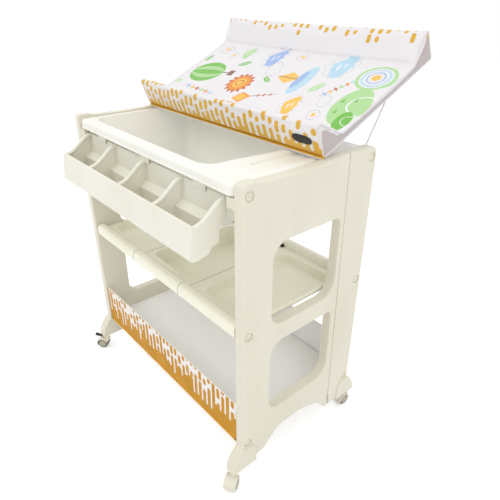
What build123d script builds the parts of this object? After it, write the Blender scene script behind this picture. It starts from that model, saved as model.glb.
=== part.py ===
from build123d import *

import os
from math import atan2, asin, cos, degrees, radians, sin, sqrt

# A baby changing table: a bath tub and an organiser tray between two moulded end panels,
# a three-part shelf and a cloth basket below, casters under the feet, and a bolstered
# changing pad propped up at the back on a bent-wire stay.
# X is the length, Y runs from front to back and Z is up, all in millimetres.

# ---- End panels ----
TABLE_LENGTH = 800.0
PANEL_THICKNESS = 28.0
PANEL_DEPTH = 436.0
PANEL_TOP = 884.0
PANEL_FOOT_Z = 58.0
PANEL_FRONT_RADIUS = 10.0
PANEL_REAR_RADIUS = 20.0
PANEL_EDGE_ROUND = 3.0
TOP_DIP_DEPTH = 8.5
TOP_DIP_FRONT_INSET = 48.0
TOP_DIP_REAR_INSET = 126.0
TOP_DIP_STEP_RUN = 10.0
TOP_DIP_STEP_FOOT = 3.0
TOP_DIP_EASE = (110.0, 86.0)
TOP_DIP_CORNER = 6.0
TOP_DIP_BEND = 200.0
WINDOW_FRONT_INSET = 91.0
WINDOW_REAR_INSET = 115.0
UPPER_WINDOW_Z = (492.0, 723.0)
LOWER_WINDOW_Z = (207.0, 439.0)
WINDOW_RADII = (40.0, 50.0, 20.0, 45.0)
ARCH_TOP_Z = 125.0
ARCH_FRONT_INSET = 75.0
ARCH_MIDDLE_Y = 5.0
ARCH_REAR_INSET = 100.0
ARCH_REAR_RUN = 41.0
ARCH_REAR_DROP = 22.0
ARCH_FRONT_RUN = 58.0
ARCH_FRONT_RISE = 16.0
ARCH_RADII = (10.0, 20.0, 120.0, 60.0, 14.0)
POST_FOOT_RISE = 12.0
GROOVE_TOP_INSET = 106.0
GROOVE_FOOT_INSET = 89.0
GROOVE_WIDTH = 4.0
GROOVE_DEPTH = 5.0
SLOT_TOP_Z = 104.0
SLOT_WIDTH = 7.0
SLOT_LEAN = 2.0
SLOT_ROUND = 3.0

# ---- Cross tubes and their fixings ----
TUBE_RADIUS = 9.5
TUBE_WALL = 1.2
TUBE_INSET = 18.0
TOP_TUBE_DROP = 27.0
SHELF_TUBE_Z = 502.0
BASKET_TUBE_Z = 141.0
SOCKET_DEPTH = 17.0
SOCKET_CLEARANCE = 0.2
BOSS_RADIUS = 13.0
BOSS_DEPTH = 4.0
SCREW_RADIUS = 2.0
SCREW_HEAD_RADIUS = 9.0
SCREW_HEAD_THICKNESS = 2.6
SCREW_LENGTH = 28.0
SCREW_CLEARANCE = 0.3
SCREW_HEAD_ROUND = 1.3
PLUG_LENGTH = 26.0
FIT_GAP = 0.05

# ---- Bath tub ----
RIM_END_GAP = 8.0
RIM_SIDE_GAP = 1.0
RIM_OVER_TUBE = 18.0
RIM_SKIRT_HEIGHT = 25.0
RIM_WALL = 3.0
RIM_LIP = 2.0
RIM_ROUND = 8.0
RIM_CORNER = 14.0
LEDGE_LEFT = 15.0
LEDGE_RIGHT = 121.0
LEDGE_SIDE = 34.0
MOUTH_WAVE_FRONT = -11.0
MOUTH_WAVE_MIDDLE = 6.6
MOUTH_WAVE_REAR = 4.4
MOUTH_CORNER = 42.0
MOUTH_CORNER_TIGHTENING = 0.25
TUB_DEPTH = 182.0
TUB_WALL = 3.0
TUB_DRAFT = 46.0
MOUTH_STEP_WIDTH = 9.0
MOUTH_STEP_DEPTH = 2.0
SOAP_DISH_LENGTH = 210.0
SOAP_DISH_WIDTH = 62.0
SOAP_DISH_DEPTH = 6.0
SOAP_DISH_INSET = 52.0
SOAP_DISH_CORNER = 18.0
DRAIN_RADIUS = 20.0
DRAIN_X = 150.0
DRAIN_DEPTH = 12.0
DRAIN_HOLE_RADIUS = 12.0
DRAIN_PLUG_GAP = 0.4
DRAIN_PLUG_THICKNESS = 6.0
DRAIN_GRIP_RADIUS = 6.0
DRAIN_GRIP_HEIGHT = 9.0
DRAIN_GRIP_ROUND = 2.0
TUB_RIB_WIDTH = 4.0
TUB_RIBS_X = (-300.0, -180.0, -60.0, 60.0, 180.0, 300.0)
SEAT_GAP = 0.3

# ---- Organiser tray ----
# Its end view is drawn in Y and Z from the front top tube's axis.
TRAY_END_GAP = 39.0
TRAY_FRONT_TOP = (-97.0, -67.0)
TRAY_FRONT_FOOT = (-107.0, -141.0)
TRAY_FLOOR = ((-92.0, -146.0), (-57.0, -138.0))
TRAY_STEPS = ((-49.0, -123.0), (-29.0, -120.0), (-29.0, -89.0), (-9.0, -76.0))
TRAY_TOP_LINE = ((-22.0, -25.0), (-51.0, -46.0), (-74.0, -64.0))
TRAY_TOP_RADII = (2.0, 8.0, 20.0, 6.0)
TRAY_FRONT_ROUND = 5.0
TRAY_FLOOR_ROUND = 6.0
TRAY_WALL = 3.0
TRAY_BACK_Y = -3.0
TRAY_BACK_TOP = -19.0
TRAY_DIVIDERS_X = (-166.0, 0.0, 166.0)
TRAY_BEAD_WIDTH = 9.0
TRAY_BEAD_DEPTH = 6.0
TRAY_HOOK_WIDTH = 46.0
TRAY_HOOKS_X = (-240.0, 0.0, 240.0)
TRAY_HOOK_WALL = 2.0
TRAY_HOOK_DROP = 8.0
TRAY_TAB_THICKNESS = 5.0
TRAY_TAB_REACH = 14.0
TRAY_TAB_RISE = 6.0
TRAY_TAB_TOP_DROP = 2.0
BRACKET_LENGTH = 27.0
BRACKET_Z = (-37.0, -11.0)
BRACKET_Y = (-17.0, 10.0)
BRACKET_ROUND = 2.0

# ---- Shelf trays ----
SHELF_END_GAP = 8.0
SHELF_PLATE_DROP = 2.0
SHELF_WALL = 3.0
SHELF_JOINT_X = 122.0
SHELF_JOINT_GAP = 0.8
RAIL_HALF_WIDTH = 16.0
RAIL_HEIGHT = 32.0
RAIL_OVER_TUBE = 17.0
RAIL_ROUND = 13.0
RAIL_FOOT_ROUND = 1.0
RAIL_INNER_ROUND = 4.0
SIDE_DISH_DEPTH = 20.0
MIDDLE_DISH_DEPTH = 57.0
DISH_END_GAP = 12.0
SIDE_DISH_JOINT_GAP = 38.0
MIDDLE_DISH_JOINT_GAP = 17.0
DISH_SIDE_GAP = 26.0
DISH_CORNER = 24.0
DISH_DRAFT_DEG = 4.0
DISH_FLOOR_ROUND = 6.0
SHELF_LIP_HEIGHT = 5.0
CLIP_WIDTH = 12.0
CLIP_DEPTH = 9.0
CLIP_HEIGHT = 7.0
CLIP_ROUND = 1.5

# ---- Basket ----
BASKET_FLOOR_THICKNESS = 6.2
BASKET_FLOOR_GAP = 11.0
BASKET_FLOOR_CORNER = 4.0
BASKET_SIDE_THICKNESS = 4.0
BASKET_SIDE_BELOW_TUBE = 17.0
BASKET_SIDE_ABOVE_TUBE = 127.0
BASKET_SIDE_CLEARANCE = 0.4

# ---- Feet and casters ----
FOOT_OVERHANG = 4.0
FOOT_ROUND = 3.0
FOOT_Z = 56.0
FOOT_LENGTH = 46.0
FOOT_HEEL_HEIGHT = 28.0
FOOT_ARC_INSET = 18.0
FOOT_ARC_Z = 146.0
FOOT_ARC_RADIUS = 25.0
FOOT_ARC_REACH = 16.0
FOOT_TOE_REACH = 15.0
HORN_SHOULDER = (13.0, 60.0)
HORN_BELLY = (5.0, 39.0)
HORN_TIP = (13.0, 18.0)
CASTER_OVERHANG = 22.0
CASTER_ANGLES = {
    "front_left": -50.0,
    "front_right": 30.0,
    "rear_left": 14.0,
    "rear_right": -6.0,
}
BRAKED_CASTERS = ("front_left", "rear_left")
WHEEL_RADIUS = 18.5
WHEEL_WIDTH = 12.0
WHEEL_ROUND = 2.5
WEB_THICKNESS = 6.0
WHEEL_SIDE_GAP = 0.5
CASTER_TRAIL = 15.0
HOOD_RADIUS = 22.5
HOOD_INNER_RADIUS = 19.8
HOOD_WIDTH = 36.0
HOOD_ROUND = 4.0
HOOD_OPENING_DEG = (208.0, 260.0, 315.0, 382.0)
HUB_RADIUS = 7.0
AXLE_RADIUS = 2.5
STEM_RADIUS = 4.0
STEM_BORE_DEPTH = 30.0
STEM_SEAT_DEPTH = 10.0
STEM_COLLAR_RADIUS = 7.0
CASTER_BOSS_RADIUS = 10.0
CASTER_BOSS_TOP = 53.0
CASTER_BOSS_FOOT = 30.0
PEDAL_WIDTH = 11.0
PEDAL_PIVOT = (-16.0, 45.4)
PEDAL_TIP = (-39.0, 50.5)
PEDAL_BARREL_RADIUS = 3.2
PEDAL_THICKNESS = 3.4
PEDAL_PAD_LENGTH = 10.0
PEDAL_PAD_THICKNESS = 6.1
PIN_RADIUS = 1.5
EAR_THICKNESS = 3.0
EAR_DROP = 10.0

# ---- Changing pad and its wire stay ----
PAD_END_INSET = 15.0
PAD_BASE_DEPTH = 438.0
PAD_SEAT_DROP = 4.2
PAD_CLOSED_GAP = 0.5
BOARD_THICKNESS = 5.0
BOARD_MARGIN = 3.0
BOARD_CORNER = 6.0
MAT_THICKNESS = 17.0
FRONT_BOLSTER_HEIGHT = 84.0
FRONT_BOLSTER_WIDTH = 76.0
REAR_BOLSTER_HEIGHT = 78.0
REAR_BOLSTER_WIDTH = 74.0
FRONT_BOLSTER_LEAN = 6.0
REAR_BOLSTER_LEAN = 0.5
BOLSTER_CREST = 11.0
BOLSTER_ROUND = 9.0
BOLSTER_OUTER_ROUND = 5.4
BOLSTER_FOOT_ROUND = 2.0
STAY_WIRE_RADIUS = 2.25
STAY_SIDE_GAP = 1.25
STAY_EYE_CLEARANCE = 0.35
STAY_FOLDED_REACH = 152.0
STAY_OPEN_DEG = 59.44
STAY_PIVOT_DROP = 4.0
STAY_BEND_RADIUS = 12.0
STAY_CLIP_LENGTH = 24.0
STAY_CLIP_HALF_WIDTH = 8.0
STAY_CLIP_DEPTH = 7.6
STAY_CLIP_ROUND = 2.5
STAY_CLIPS_X = (-220.0, 0.0, 220.0)

# ---- Worked-out places ----
CUT_OVERRUN = 1.0
SIGNS = (-1, 1)
PANEL_OUT = TABLE_LENGTH / 2
PANEL_IN = PANEL_OUT - PANEL_THICKNESS
PANEL_MID_X = (PANEL_OUT + PANEL_IN) / 2
PANEL_HALF_DEPTH = PANEL_DEPTH / 2
TUBE_Y = PANEL_HALF_DEPTH - TUBE_INSET
TOP_TUBE_Z = PANEL_TOP - TOP_TUBE_DROP
TUBE_LEVELS = {"top": TOP_TUBE_Z, "shelf": SHELF_TUBE_Z, "basket": BASKET_TUBE_Z}
WINDOW_Y = (WINDOW_FRONT_INSET - PANEL_HALF_DEPTH, PANEL_HALF_DEPTH - WINDOW_REAR_INSET)
RIM_HALF_X = PANEL_IN - RIM_END_GAP
RIM_HALF_Y = PANEL_HALF_DEPTH - RIM_SIDE_GAP
RIM_TOP = TOP_TUBE_Z + RIM_OVER_TUBE
MOUTH_X = (LEDGE_LEFT - RIM_HALF_X, RIM_HALF_X - LEDGE_RIGHT)
MOUTH_HALF_DEPTH = RIM_HALF_Y - LEDGE_SIDE
TRAY_HALF_LENGTH = PANEL_IN - TRAY_END_GAP
SHELF_HALF_X = PANEL_IN - SHELF_END_GAP
SHELF_PLATE_TOP = SHELF_TUBE_Z - SHELF_PLATE_DROP
RAIL_TOP = SHELF_TUBE_Z + RAIL_OVER_TUBE
SIDE_DISH_X = (SHELF_JOINT_X + SIDE_DISH_JOINT_GAP, SHELF_HALF_X - DISH_END_GAP)
MIDDLE_DISH_HALF_X = SHELF_JOINT_X - MIDDLE_DISH_JOINT_GAP
DISH_HALF_Y = TUBE_Y - RAIL_HALF_WIDTH - DISH_SIDE_GAP
BASKET_SIDE_Z = (BASKET_TUBE_Z - BASKET_SIDE_BELOW_TUBE, BASKET_TUBE_Z + BASKET_SIDE_ABOVE_TUBE)
FOOT_HEEL_Y = PANEL_HALF_DEPTH - FOOT_LENGTH
CASTER_Y = PANEL_HALF_DEPTH + CASTER_OVERHANG
PAD_HALF_LENGTH = PANEL_OUT - PAD_END_INSET
STAY_X = PANEL_IN - STAY_SIDE_GAP - STAY_WIRE_RADIUS
STAY_PIVOT_U = TUBE_Y + PANEL_HALF_DEPTH - STAY_FOLDED_REACH

parts = {}


def side_plate(profile, x_from, x_to):
    """A face drawn in Y and Z, made into a plate between two places along X."""
    return extrude(Plane.YZ.offset(x_from) * profile, amount=x_to - x_from)


def rounded_outline(points, radii):
    return make_face(FilletPolyline(*points, radius=radii, close=True))


def block(x_range, y_range, z_range):
    """A box between two places along each axis."""
    sizes = [high - low for low, high in (x_range, y_range, z_range)]
    low_corner = Pos(x_range[0], y_range[0], z_range[0])
    return low_corner * Box(*sizes, align=(Align.MIN, Align.MIN, Align.MIN))


def rod_x(y, z, radius, x_from, x_to):
    """A round bar along X."""
    return side_plate(Pos(y, z) * Circle(radius), x_from, x_to)


def upright(radius, height, x=0.0, low=0.0):
    """A round bar along Z, standing at x on the table's middle line."""
    bar = Cylinder(radius, height, align=(Align.CENTER, Align.CENTER, Align.MIN))
    return Pos(x, 0, low) * bar


# ---- End panels ----
def foot_profile(side):
    """The horn-shaped foot under a post: side is -1 at the front and 1 at the back."""
    centre_y = PANEL_HALF_DEPTH - FOOT_ARC_INSET
    outer_y = PANEL_HALF_DEPTH
    inner_y = centre_y - FOOT_ARC_REACH

    def on_arc(y):
        return FOOT_ARC_Z - sqrt(FOOT_ARC_RADIUS**2 - (y - centre_y) ** 2)

    def at(y, z):
        return (side * y, z)

    heel = at(FOOT_HEEL_Y, FOOT_Z)
    heel_top = at(FOOT_HEEL_Y, FOOT_Z + FOOT_HEEL_HEIGHT)
    arc_in = at(inner_y, on_arc(inner_y))
    arc_low = at(centre_y, on_arc(centre_y))
    arc_out = at(outer_y, on_arc(outer_y))
    toe = at(CASTER_Y + FOOT_TOE_REACH, FOOT_Z)
    horn = Spline(
        arc_out,
        at(outer_y + HORN_SHOULDER[0], FOOT_Z + HORN_SHOULDER[1]),
        at(CASTER_Y + HORN_BELLY[0], FOOT_Z + HORN_BELLY[1]),
        at(CASTER_Y + HORN_TIP[0], FOOT_Z + HORN_TIP[1]),
        toe,
    )
    edges = [
        Line(heel, heel_top),
        Line(heel_top, arc_in),
        ThreePointArc(arc_in, arc_low, arc_out),
        horn,
        Line(toe, heel),
    ]
    return make_face(edges)


def panel_profile():
    """The side view of an end panel, before its feet are cut away."""
    half = PANEL_HALF_DEPTH
    low = PANEL_TOP - TOP_DIP_DEPTH
    front_y = TOP_DIP_FRONT_INSET - half
    rear_y = half - TOP_DIP_REAR_INSET
    arch_front = ARCH_FRONT_INSET - half
    arch_rear = half - ARCH_REAR_INSET
    front_ease, rear_ease = TOP_DIP_EASE
    arch = ARCH_RADII
    post_foot = PANEL_FOOT_Z + POST_FOOT_RISE
    corners = [
        ((-half, PANEL_TOP), PANEL_FRONT_RADIUS),
        ((front_y - TOP_DIP_STEP_RUN, PANEL_TOP), TOP_DIP_CORNER),
        ((front_y, low + TOP_DIP_STEP_FOOT), TOP_DIP_CORNER),
        ((front_y + front_ease, low), TOP_DIP_BEND),
        ((rear_y - rear_ease, low), TOP_DIP_BEND),
        ((rear_y, PANEL_TOP), TOP_DIP_BEND),
        ((half, PANEL_TOP), PANEL_REAR_RADIUS),
        ((half, PANEL_FOOT_Z), 0),
        ((arch_rear, PANEL_FOOT_Z), arch[0]),
        ((arch_rear - ARCH_REAR_RUN, ARCH_TOP_Z - ARCH_REAR_DROP), arch[1]),
        ((ARCH_MIDDLE_Y, ARCH_TOP_Z), arch[2]),
        ((arch_front + ARCH_FRONT_RUN, ARCH_TOP_Z), arch[3]),
        ((arch_front, PANEL_FOOT_Z + ARCH_FRONT_RISE), arch[4]),
        ((-FOOT_HEEL_Y, post_foot), 0),
        ((-half, post_foot), 0),
    ]
    profile = rounded_outline([c[0] for c in corners], [c[1] for c in corners])
    for z_range in (UPPER_WINDOW_Z, LOWER_WINDOW_Z):
        profile -= window_profile(z_range)
    return profile


def window_profile(z_range):
    low, high = z_range
    front_y, rear_y = WINDOW_Y
    corners = [(front_y, low), (rear_y, low), (rear_y, high), (front_y, high)]
    return rounded_outline(corners, list(WINDOW_RADII))


def groove_profile():
    """The long groove that sets the rear post off from the rest of a panel."""
    half = GROOVE_WIDTH / 2
    top_y = PANEL_HALF_DEPTH - GROOVE_TOP_INSET
    foot_y = PANEL_HALF_DEPTH - GROOVE_FOOT_INSET
    corners = [
        (top_y - half, PANEL_TOP + CUT_OVERRUN),
        (top_y + half, PANEL_TOP + CUT_OVERRUN),
        (foot_y + half, PANEL_FOOT_Z - CUT_OVERRUN),
        (foot_y - half, PANEL_FOOT_Z - CUT_OVERRUN),
    ]
    return make_face(Polyline(*corners, close=True))


def slot_profile():
    """The open slot at the groove's lower end."""
    half = SLOT_WIDTH / 2
    low = PANEL_FOOT_Z - CUT_OVERRUN
    middle = PANEL_HALF_DEPTH - GROOVE_FOOT_INSET
    corners = [
        (middle - half, SLOT_TOP_Z),
        (middle + half, SLOT_TOP_Z),
        (middle + half + SLOT_LEAN, low),
        (middle - half, low),
    ]
    return rounded_outline(corners, [SLOT_ROUND, SLOT_ROUND, 0, 0])


def tube_places():
    """Each cross tube's name, Y and Z."""
    for level, z in TUBE_LEVELS.items():
        for side, word in zip(SIGNS, ("front", "rear")):
            yield f"{level}_tube_{word}", side * TUBE_Y, z


def make_right_panel():
    panel = side_plate(panel_profile(), PANEL_IN, PANEL_OUT)
    outer_face = panel.faces().sort_by(Axis.X)[-1]
    panel = fillet(outer_face.edges(), PANEL_EDGE_ROUND)
    for side in SIGNS:
        panel -= side_plate(foot_profile(side), PANEL_IN, PANEL_OUT)
    panel -= side_plate(groove_profile(), PANEL_OUT - GROOVE_DEPTH, PANEL_OUT)
    panel -= side_plate(slot_profile(), PANEL_IN, PANEL_OUT)
    for _, y, z in tube_places():
        socket_radius = TUBE_RADIUS + SOCKET_CLEARANCE
        hole_radius = SCREW_RADIUS + SCREW_CLEARANCE
        panel -= rod_x(y, z, socket_radius, PANEL_IN, PANEL_IN + SOCKET_DEPTH)
        panel -= rod_x(y, z, hole_radius, PANEL_IN, PANEL_OUT)
        panel -= rod_x(y, z, BOSS_RADIUS, PANEL_OUT - BOSS_DEPTH, PANEL_OUT)
    return panel


def make_end_panels():
    right = make_right_panel()
    parts["end_panel_right"] = right
    parts["end_panel_left"] = mirror(right, Plane.YZ)


# ---- Tubes, end plugs and screws ----
def make_tubes():
    reach = PANEL_IN + SOCKET_DEPTH - SEAT_GAP
    inner = TUBE_RADIUS - TUBE_WALL
    plugs = []
    screws = []
    for name, y, z in tube_places():
        tube = rod_x(y, z, TUBE_RADIUS, -reach, reach)
        parts[name] = tube - rod_x(y, z, inner, -reach, reach)
        for side in SIGNS:
            plugs.append(tube_plug(side, y, z, reach, inner - FIT_GAP))
            screws.append(panel_screw(side, y, z))
    parts["tube_end_plugs"] = Compound(children=plugs)
    parts["panel_screws"] = Compound(children=screws)


def tube_plug(side, y, z, reach, radius):
    ends = sorted((side * reach, side * (reach - PLUG_LENGTH)))
    plug = rod_x(y, z, radius, *ends)
    return plug - rod_x(y, z, SCREW_RADIUS + FIT_GAP, *ends)


def panel_screw(side, y, z):
    seat = PANEL_OUT - BOSS_DEPTH
    shank = sorted((side * seat, side * (seat - SCREW_LENGTH)))
    head = sorted((side * seat, side * (seat + SCREW_HEAD_THICKNESS)))
    screw = rod_x(y, z, SCREW_HEAD_RADIUS, *head)
    outer = screw.faces().sort_by(Axis.X)[-1 if side > 0 else 0]
    screw = fillet(outer.edges(), SCREW_HEAD_ROUND)
    return screw + rod_x(y, z, SCREW_RADIUS, *shank)


# ---- Bath tub ----
def mouth_face(inset, z):
    """The tub's mouth, drawn in by inset, with its gently waved right-hand edge."""
    left = MOUTH_X[0] + inset
    right = MOUTH_X[1] - inset
    half = MOUTH_HALF_DEPTH - inset
    round_off = MOUTH_CORNER - inset * MOUTH_CORNER_TIGHTENING
    lower = (right + MOUTH_WAVE_FRONT, -half + round_off)
    middle = (right + MOUTH_WAVE_MIDDLE, 0)
    upper = (right + MOUTH_WAVE_REAR, half - round_off)
    front_end = (lower[0] - round_off, -half)
    edges = [
        Line((left + round_off, -half), front_end),
        TangentArc(front_end, lower, tangent=(1, 0)),
        Spline(lower, middle, upper, tangents=((0, 1), (0, 1))),
        TangentArc(upper, (upper[0] - round_off, half), tangent=(0, 1)),
        Line((upper[0] - round_off, half), (left + round_off, half)),
        TangentArc((left + round_off, half), (left, half - round_off), tangent=(-1, 0)),
        Line((left, half - round_off), (left, -half + round_off)),
        TangentArc((left, -half + round_off), (left + round_off, -half), tangent=(0, -1)),
    ]
    return Pos(0, 0, z) * make_face(edges)


def rim_block(inset, low, high, corner):
    size_x = 2 * (RIM_HALF_X - inset)
    size_y = 2 * (RIM_HALF_Y - inset)
    sketch = Pos(0, 0, low) * RectangleRounded(size_x, size_y, corner)
    return extrude(sketch, amount=high - low)


def make_rim():
    """The rim: a channel, open underneath, that straddles both top tubes."""
    low = RIM_TOP - RIM_SKIRT_HEIGHT
    rim = rim_block(0, low, RIM_TOP, RIM_CORNER)
    top_face = rim.faces().sort_by(Axis.Z)[-1]
    rim = fillet(top_face.edges(), RIM_ROUND)
    lip = rim_block(-RIM_LIP, low, low + RIM_WALL, RIM_CORNER + RIM_LIP)
    hollow = rim_block(RIM_WALL, low, RIM_TOP - RIM_WALL, RIM_CORNER - RIM_WALL)
    inner_top = hollow.faces().sort_by(Axis.Z)[-1]
    hollow = fillet(inner_top.edges(), RIM_ROUND - RIM_WALL)
    rim = rim + lip - hollow
    for side in SIGNS:
        rim -= tube_notch(side * TUBE_Y, low)
    return rim


def tube_notch(y, low):
    """The U-shaped cut that lets a top tube out through both ends of the rim."""
    radius = TUBE_RADIUS + SEAT_GAP
    reach = RIM_HALF_X + 2 * RIM_LIP
    cut = rod_x(y, TOP_TUBE_Z, radius, -reach, reach)
    drop = (low - CUT_OVERRUN, TOP_TUBE_Z)
    return cut + block((-reach, reach), (y - radius, y + radius), drop)


def tub_ribs():
    """Ribs under the rim that rest on the top tubes."""
    ribs = []
    foot = TOP_TUBE_Z + TUBE_RADIUS + SEAT_GAP
    for side in SIGNS:
        outer_y = side * (RIM_HALF_Y - RIM_WALL)
        inner_y = side * (MOUTH_HALF_DEPTH + TUB_WALL)
        y_range = sorted((outer_y, inner_y))
        for x in TUB_RIBS_X:
            x_range = (x - TUB_RIB_WIDTH / 2, x + TUB_RIB_WIDTH / 2)
            ribs.append(block(x_range, y_range, (foot, RIM_TOP - RIM_WALL)))
    return ribs


def make_tub():
    bottom = RIM_TOP - TUB_DEPTH
    basin_out = loft(
        [
            mouth_face(-TUB_WALL, RIM_TOP - RIM_WALL),
            mouth_face(TUB_DRAFT - TUB_WALL, bottom - TUB_WALL),
        ]
    )
    basin_in = loft([mouth_face(0, RIM_TOP), mouth_face(TUB_DRAFT, bottom)])
    tub = make_rim() + basin_out
    for rib in tub_ribs():
        tub += rib
    step_low = RIM_TOP - MOUTH_STEP_DEPTH
    tub -= extrude(mouth_face(-MOUTH_STEP_WIDTH, step_low), amount=MOUTH_STEP_DEPTH)
    tub -= basin_in
    tub += soap_dish(TUB_WALL)
    tub -= soap_dish(0)
    drain_floor = bottom - DRAIN_DEPTH
    tub += upright(DRAIN_RADIUS + TUB_WALL, DRAIN_DEPTH, DRAIN_X, drain_floor)
    tub -= upright(DRAIN_RADIUS, DRAIN_DEPTH, DRAIN_X, drain_floor + TUB_WALL)
    tub -= upright(DRAIN_HOLE_RADIUS, TUB_WALL, DRAIN_X, drain_floor)
    parts["bath_tub"] = tub
    parts["drain_plug"] = make_drain_plug(drain_floor + TUB_WALL)


def soap_dish(wall):
    """The shallow dish in the soap ledge, or its outside when wall is above zero."""
    size_x = SOAP_DISH_WIDTH + 2 * wall
    size_y = SOAP_DISH_LENGTH + 2 * wall
    low = RIM_TOP - SOAP_DISH_DEPTH - wall
    top = RIM_TOP if wall == 0 else RIM_TOP - RIM_WALL
    corner = SOAP_DISH_CORNER + wall
    place = Pos(RIM_HALF_X - SOAP_DISH_INSET, 0, low)
    sketch = place * RectangleRounded(size_x, size_y, corner)
    return extrude(sketch, amount=top - low)


def make_drain_plug(seat):
    """A rubber stopper with a low grip, in the drain's seat."""
    base = seat + DRAIN_PLUG_GAP
    grip_low = base + DRAIN_PLUG_THICKNESS
    disc = upright(DRAIN_RADIUS - DRAIN_PLUG_GAP, DRAIN_PLUG_THICKNESS, DRAIN_X, base)
    grip = upright(DRAIN_GRIP_RADIUS, DRAIN_GRIP_HEIGHT, DRAIN_X, grip_low)
    top_face = (disc + grip).faces().sort_by(Axis.Z)[-1]
    return fillet(top_face.edges(), DRAIN_GRIP_ROUND)


# ---- Organiser tray ----
def tray_outside():
    """The tray's end view: a leaning front and a back that rises in two steps."""
    fronts = [TRAY_FRONT_TOP, TRAY_FRONT_FOOT]
    floor = [*TRAY_FLOOR, *TRAY_STEPS]
    tops = [(TRAY_BACK_Y, TRAY_BACK_TOP), *TRAY_TOP_LINE]
    radii = [TRAY_FRONT_ROUND] * len(fronts) + [TRAY_FLOOR_ROUND] * len(floor)
    return rounded_outline(fronts + floor + tops, radii + list(TRAY_TOP_RADII))


def tray_inside():
    """One compartment's end view, a wall's thickness in, and open along the top."""
    wall = TRAY_WALL
    top = TRAY_BACK_TOP + TRAY_BACK_TOP - TRAY_FRONT_TOP[1]
    front_y = TRAY_FRONT_TOP[0] + wall
    points = [
        (front_y, top),
        (front_y, TRAY_FRONT_TOP[1]),
        (TRAY_FRONT_FOOT[0] + wall, TRAY_FRONT_FOOT[1] + wall),
    ]
    for y, z in (*TRAY_FLOOR, *TRAY_STEPS):
        points.append((y - wall, z + wall))
    points.append((TRAY_BACK_Y - wall, TRAY_BACK_TOP))
    points.append((TRAY_BACK_Y - wall, top))
    return make_face(Polyline(*points, close=True))


def tray_bead(x):
    """The thickened bead along the top of a divider."""
    band = tray_outside() - Pos(0, -TRAY_BEAD_DEPTH) * tray_outside()
    return side_plate(band, x - TRAY_BEAD_WIDTH / 2, x + TRAY_BEAD_WIDTH / 2)


def tray_hook(x):
    """A flat hook from the tray's back, up behind the rim's skirt and over the tube."""
    wall = TRAY_HOOK_WALL
    inner = TUBE_RADIUS + SEAT_GAP
    outer = inner + wall
    low = TRAY_BACK_TOP - TRAY_HOOK_DROP
    ring = Circle(outer) - Circle(inner)
    front_half = Pos(-outer, outer) * Rectangle(2 * outer, 2 * outer)
    stalk = Pos(wall / 2 - outer, low / 2) * Rectangle(wall, -low)
    foot_length = TRAY_BACK_Y + outer
    foot = Pos(TRAY_BACK_Y - foot_length / 2, low + wall / 2) * Rectangle(foot_length, wall)
    hook = (ring & front_half) + stalk + foot
    return side_plate(hook, x - TRAY_HOOK_WIDTH / 2, x + TRAY_HOOK_WIDTH / 2)


def make_tray():
    half = TRAY_HALF_LENGTH
    tray = side_plate(tray_outside(), -half, half)
    walls = [TRAY_WALL / 2 - half, *TRAY_DIVIDERS_X, half - TRAY_WALL / 2]
    for left, right in zip(walls, walls[1:]):
        x_from = left + TRAY_WALL / 2
        x_to = right - TRAY_WALL / 2
        tray -= side_plate(tray_inside(), x_from, x_to)
    for x in TRAY_DIVIDERS_X:
        tray += tray_bead(x)
    for x in TRAY_HOOKS_X:
        tray += tray_hook(x)
    for side in SIGNS:
        tray += tray_tab(side)
    parts["organiser_tray"] = by_front_tube() * tray


def by_front_tube():
    return Pos(0, -TUBE_Y, TOP_TUBE_Z)


def tray_tab(side):
    """The tab on the tray's end that drops into a bracket."""
    inner = side * (TRAY_HALF_LENGTH - TRAY_WALL)
    outer = side * (PANEL_IN - BRACKET_LENGTH + TRAY_TAB_REACH)
    y_mid = sum(BRACKET_Y) / 2
    y_range = (y_mid - TRAY_TAB_THICKNESS / 2, y_mid + TRAY_TAB_THICKNESS / 2)
    z_range = (BRACKET_Z[0] + TRAY_TAB_RISE, TRAY_BACK_TOP - TRAY_TAB_TOP_DROP)
    return block(sorted((inner, outer)), y_range, z_range)


def tray_bracket(side):
    """The bracket on an end panel that the tray's tab drops into."""
    x_range = sorted((side * (PANEL_IN - BRACKET_LENGTH), side * PANEL_IN))
    bracket = block(x_range, BRACKET_Y, BRACKET_Z)
    bracket = fillet(bracket.edges().filter_by(Axis.X), BRACKET_ROUND)
    y_mid = sum(BRACKET_Y) / 2
    half = TRAY_TAB_THICKNESS / 2 + SEAT_GAP
    pocket_inner = side * (PANEL_IN - BRACKET_LENGTH)
    pocket_outer = pocket_inner + side * (TRAY_TAB_REACH + SEAT_GAP)
    pocket_low = BRACKET_Z[0] + TRAY_TAB_RISE - SEAT_GAP
    bracket -= block(
        sorted((pocket_inner, pocket_outer)),
        (y_mid - half, y_mid + half),
        (pocket_low, BRACKET_Z[1]),
    )
    bracket -= rod_x(0, 0, TUBE_RADIUS + SEAT_GAP, *x_range)
    return by_front_tube() * bracket


def make_tray_brackets():
    parts["tray_bracket_left"] = tray_bracket(-1)
    parts["tray_bracket_right"] = tray_bracket(1)


# ---- Shelf trays ----
def rail_outside(side):
    """A shelf's edge bead, in end view, with a rounded top."""
    y = side * TUBE_Y
    low = RAIL_TOP - RAIL_HEIGHT
    corners = [
        (y - RAIL_HALF_WIDTH, low),
        (y + RAIL_HALF_WIDTH, low),
        (y + RAIL_HALF_WIDTH, RAIL_TOP),
        (y - RAIL_HALF_WIDTH, RAIL_TOP),
    ]
    radii = [RAIL_FOOT_ROUND, RAIL_FOOT_ROUND, RAIL_ROUND, RAIL_ROUND]
    return rounded_outline(corners, radii)


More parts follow.
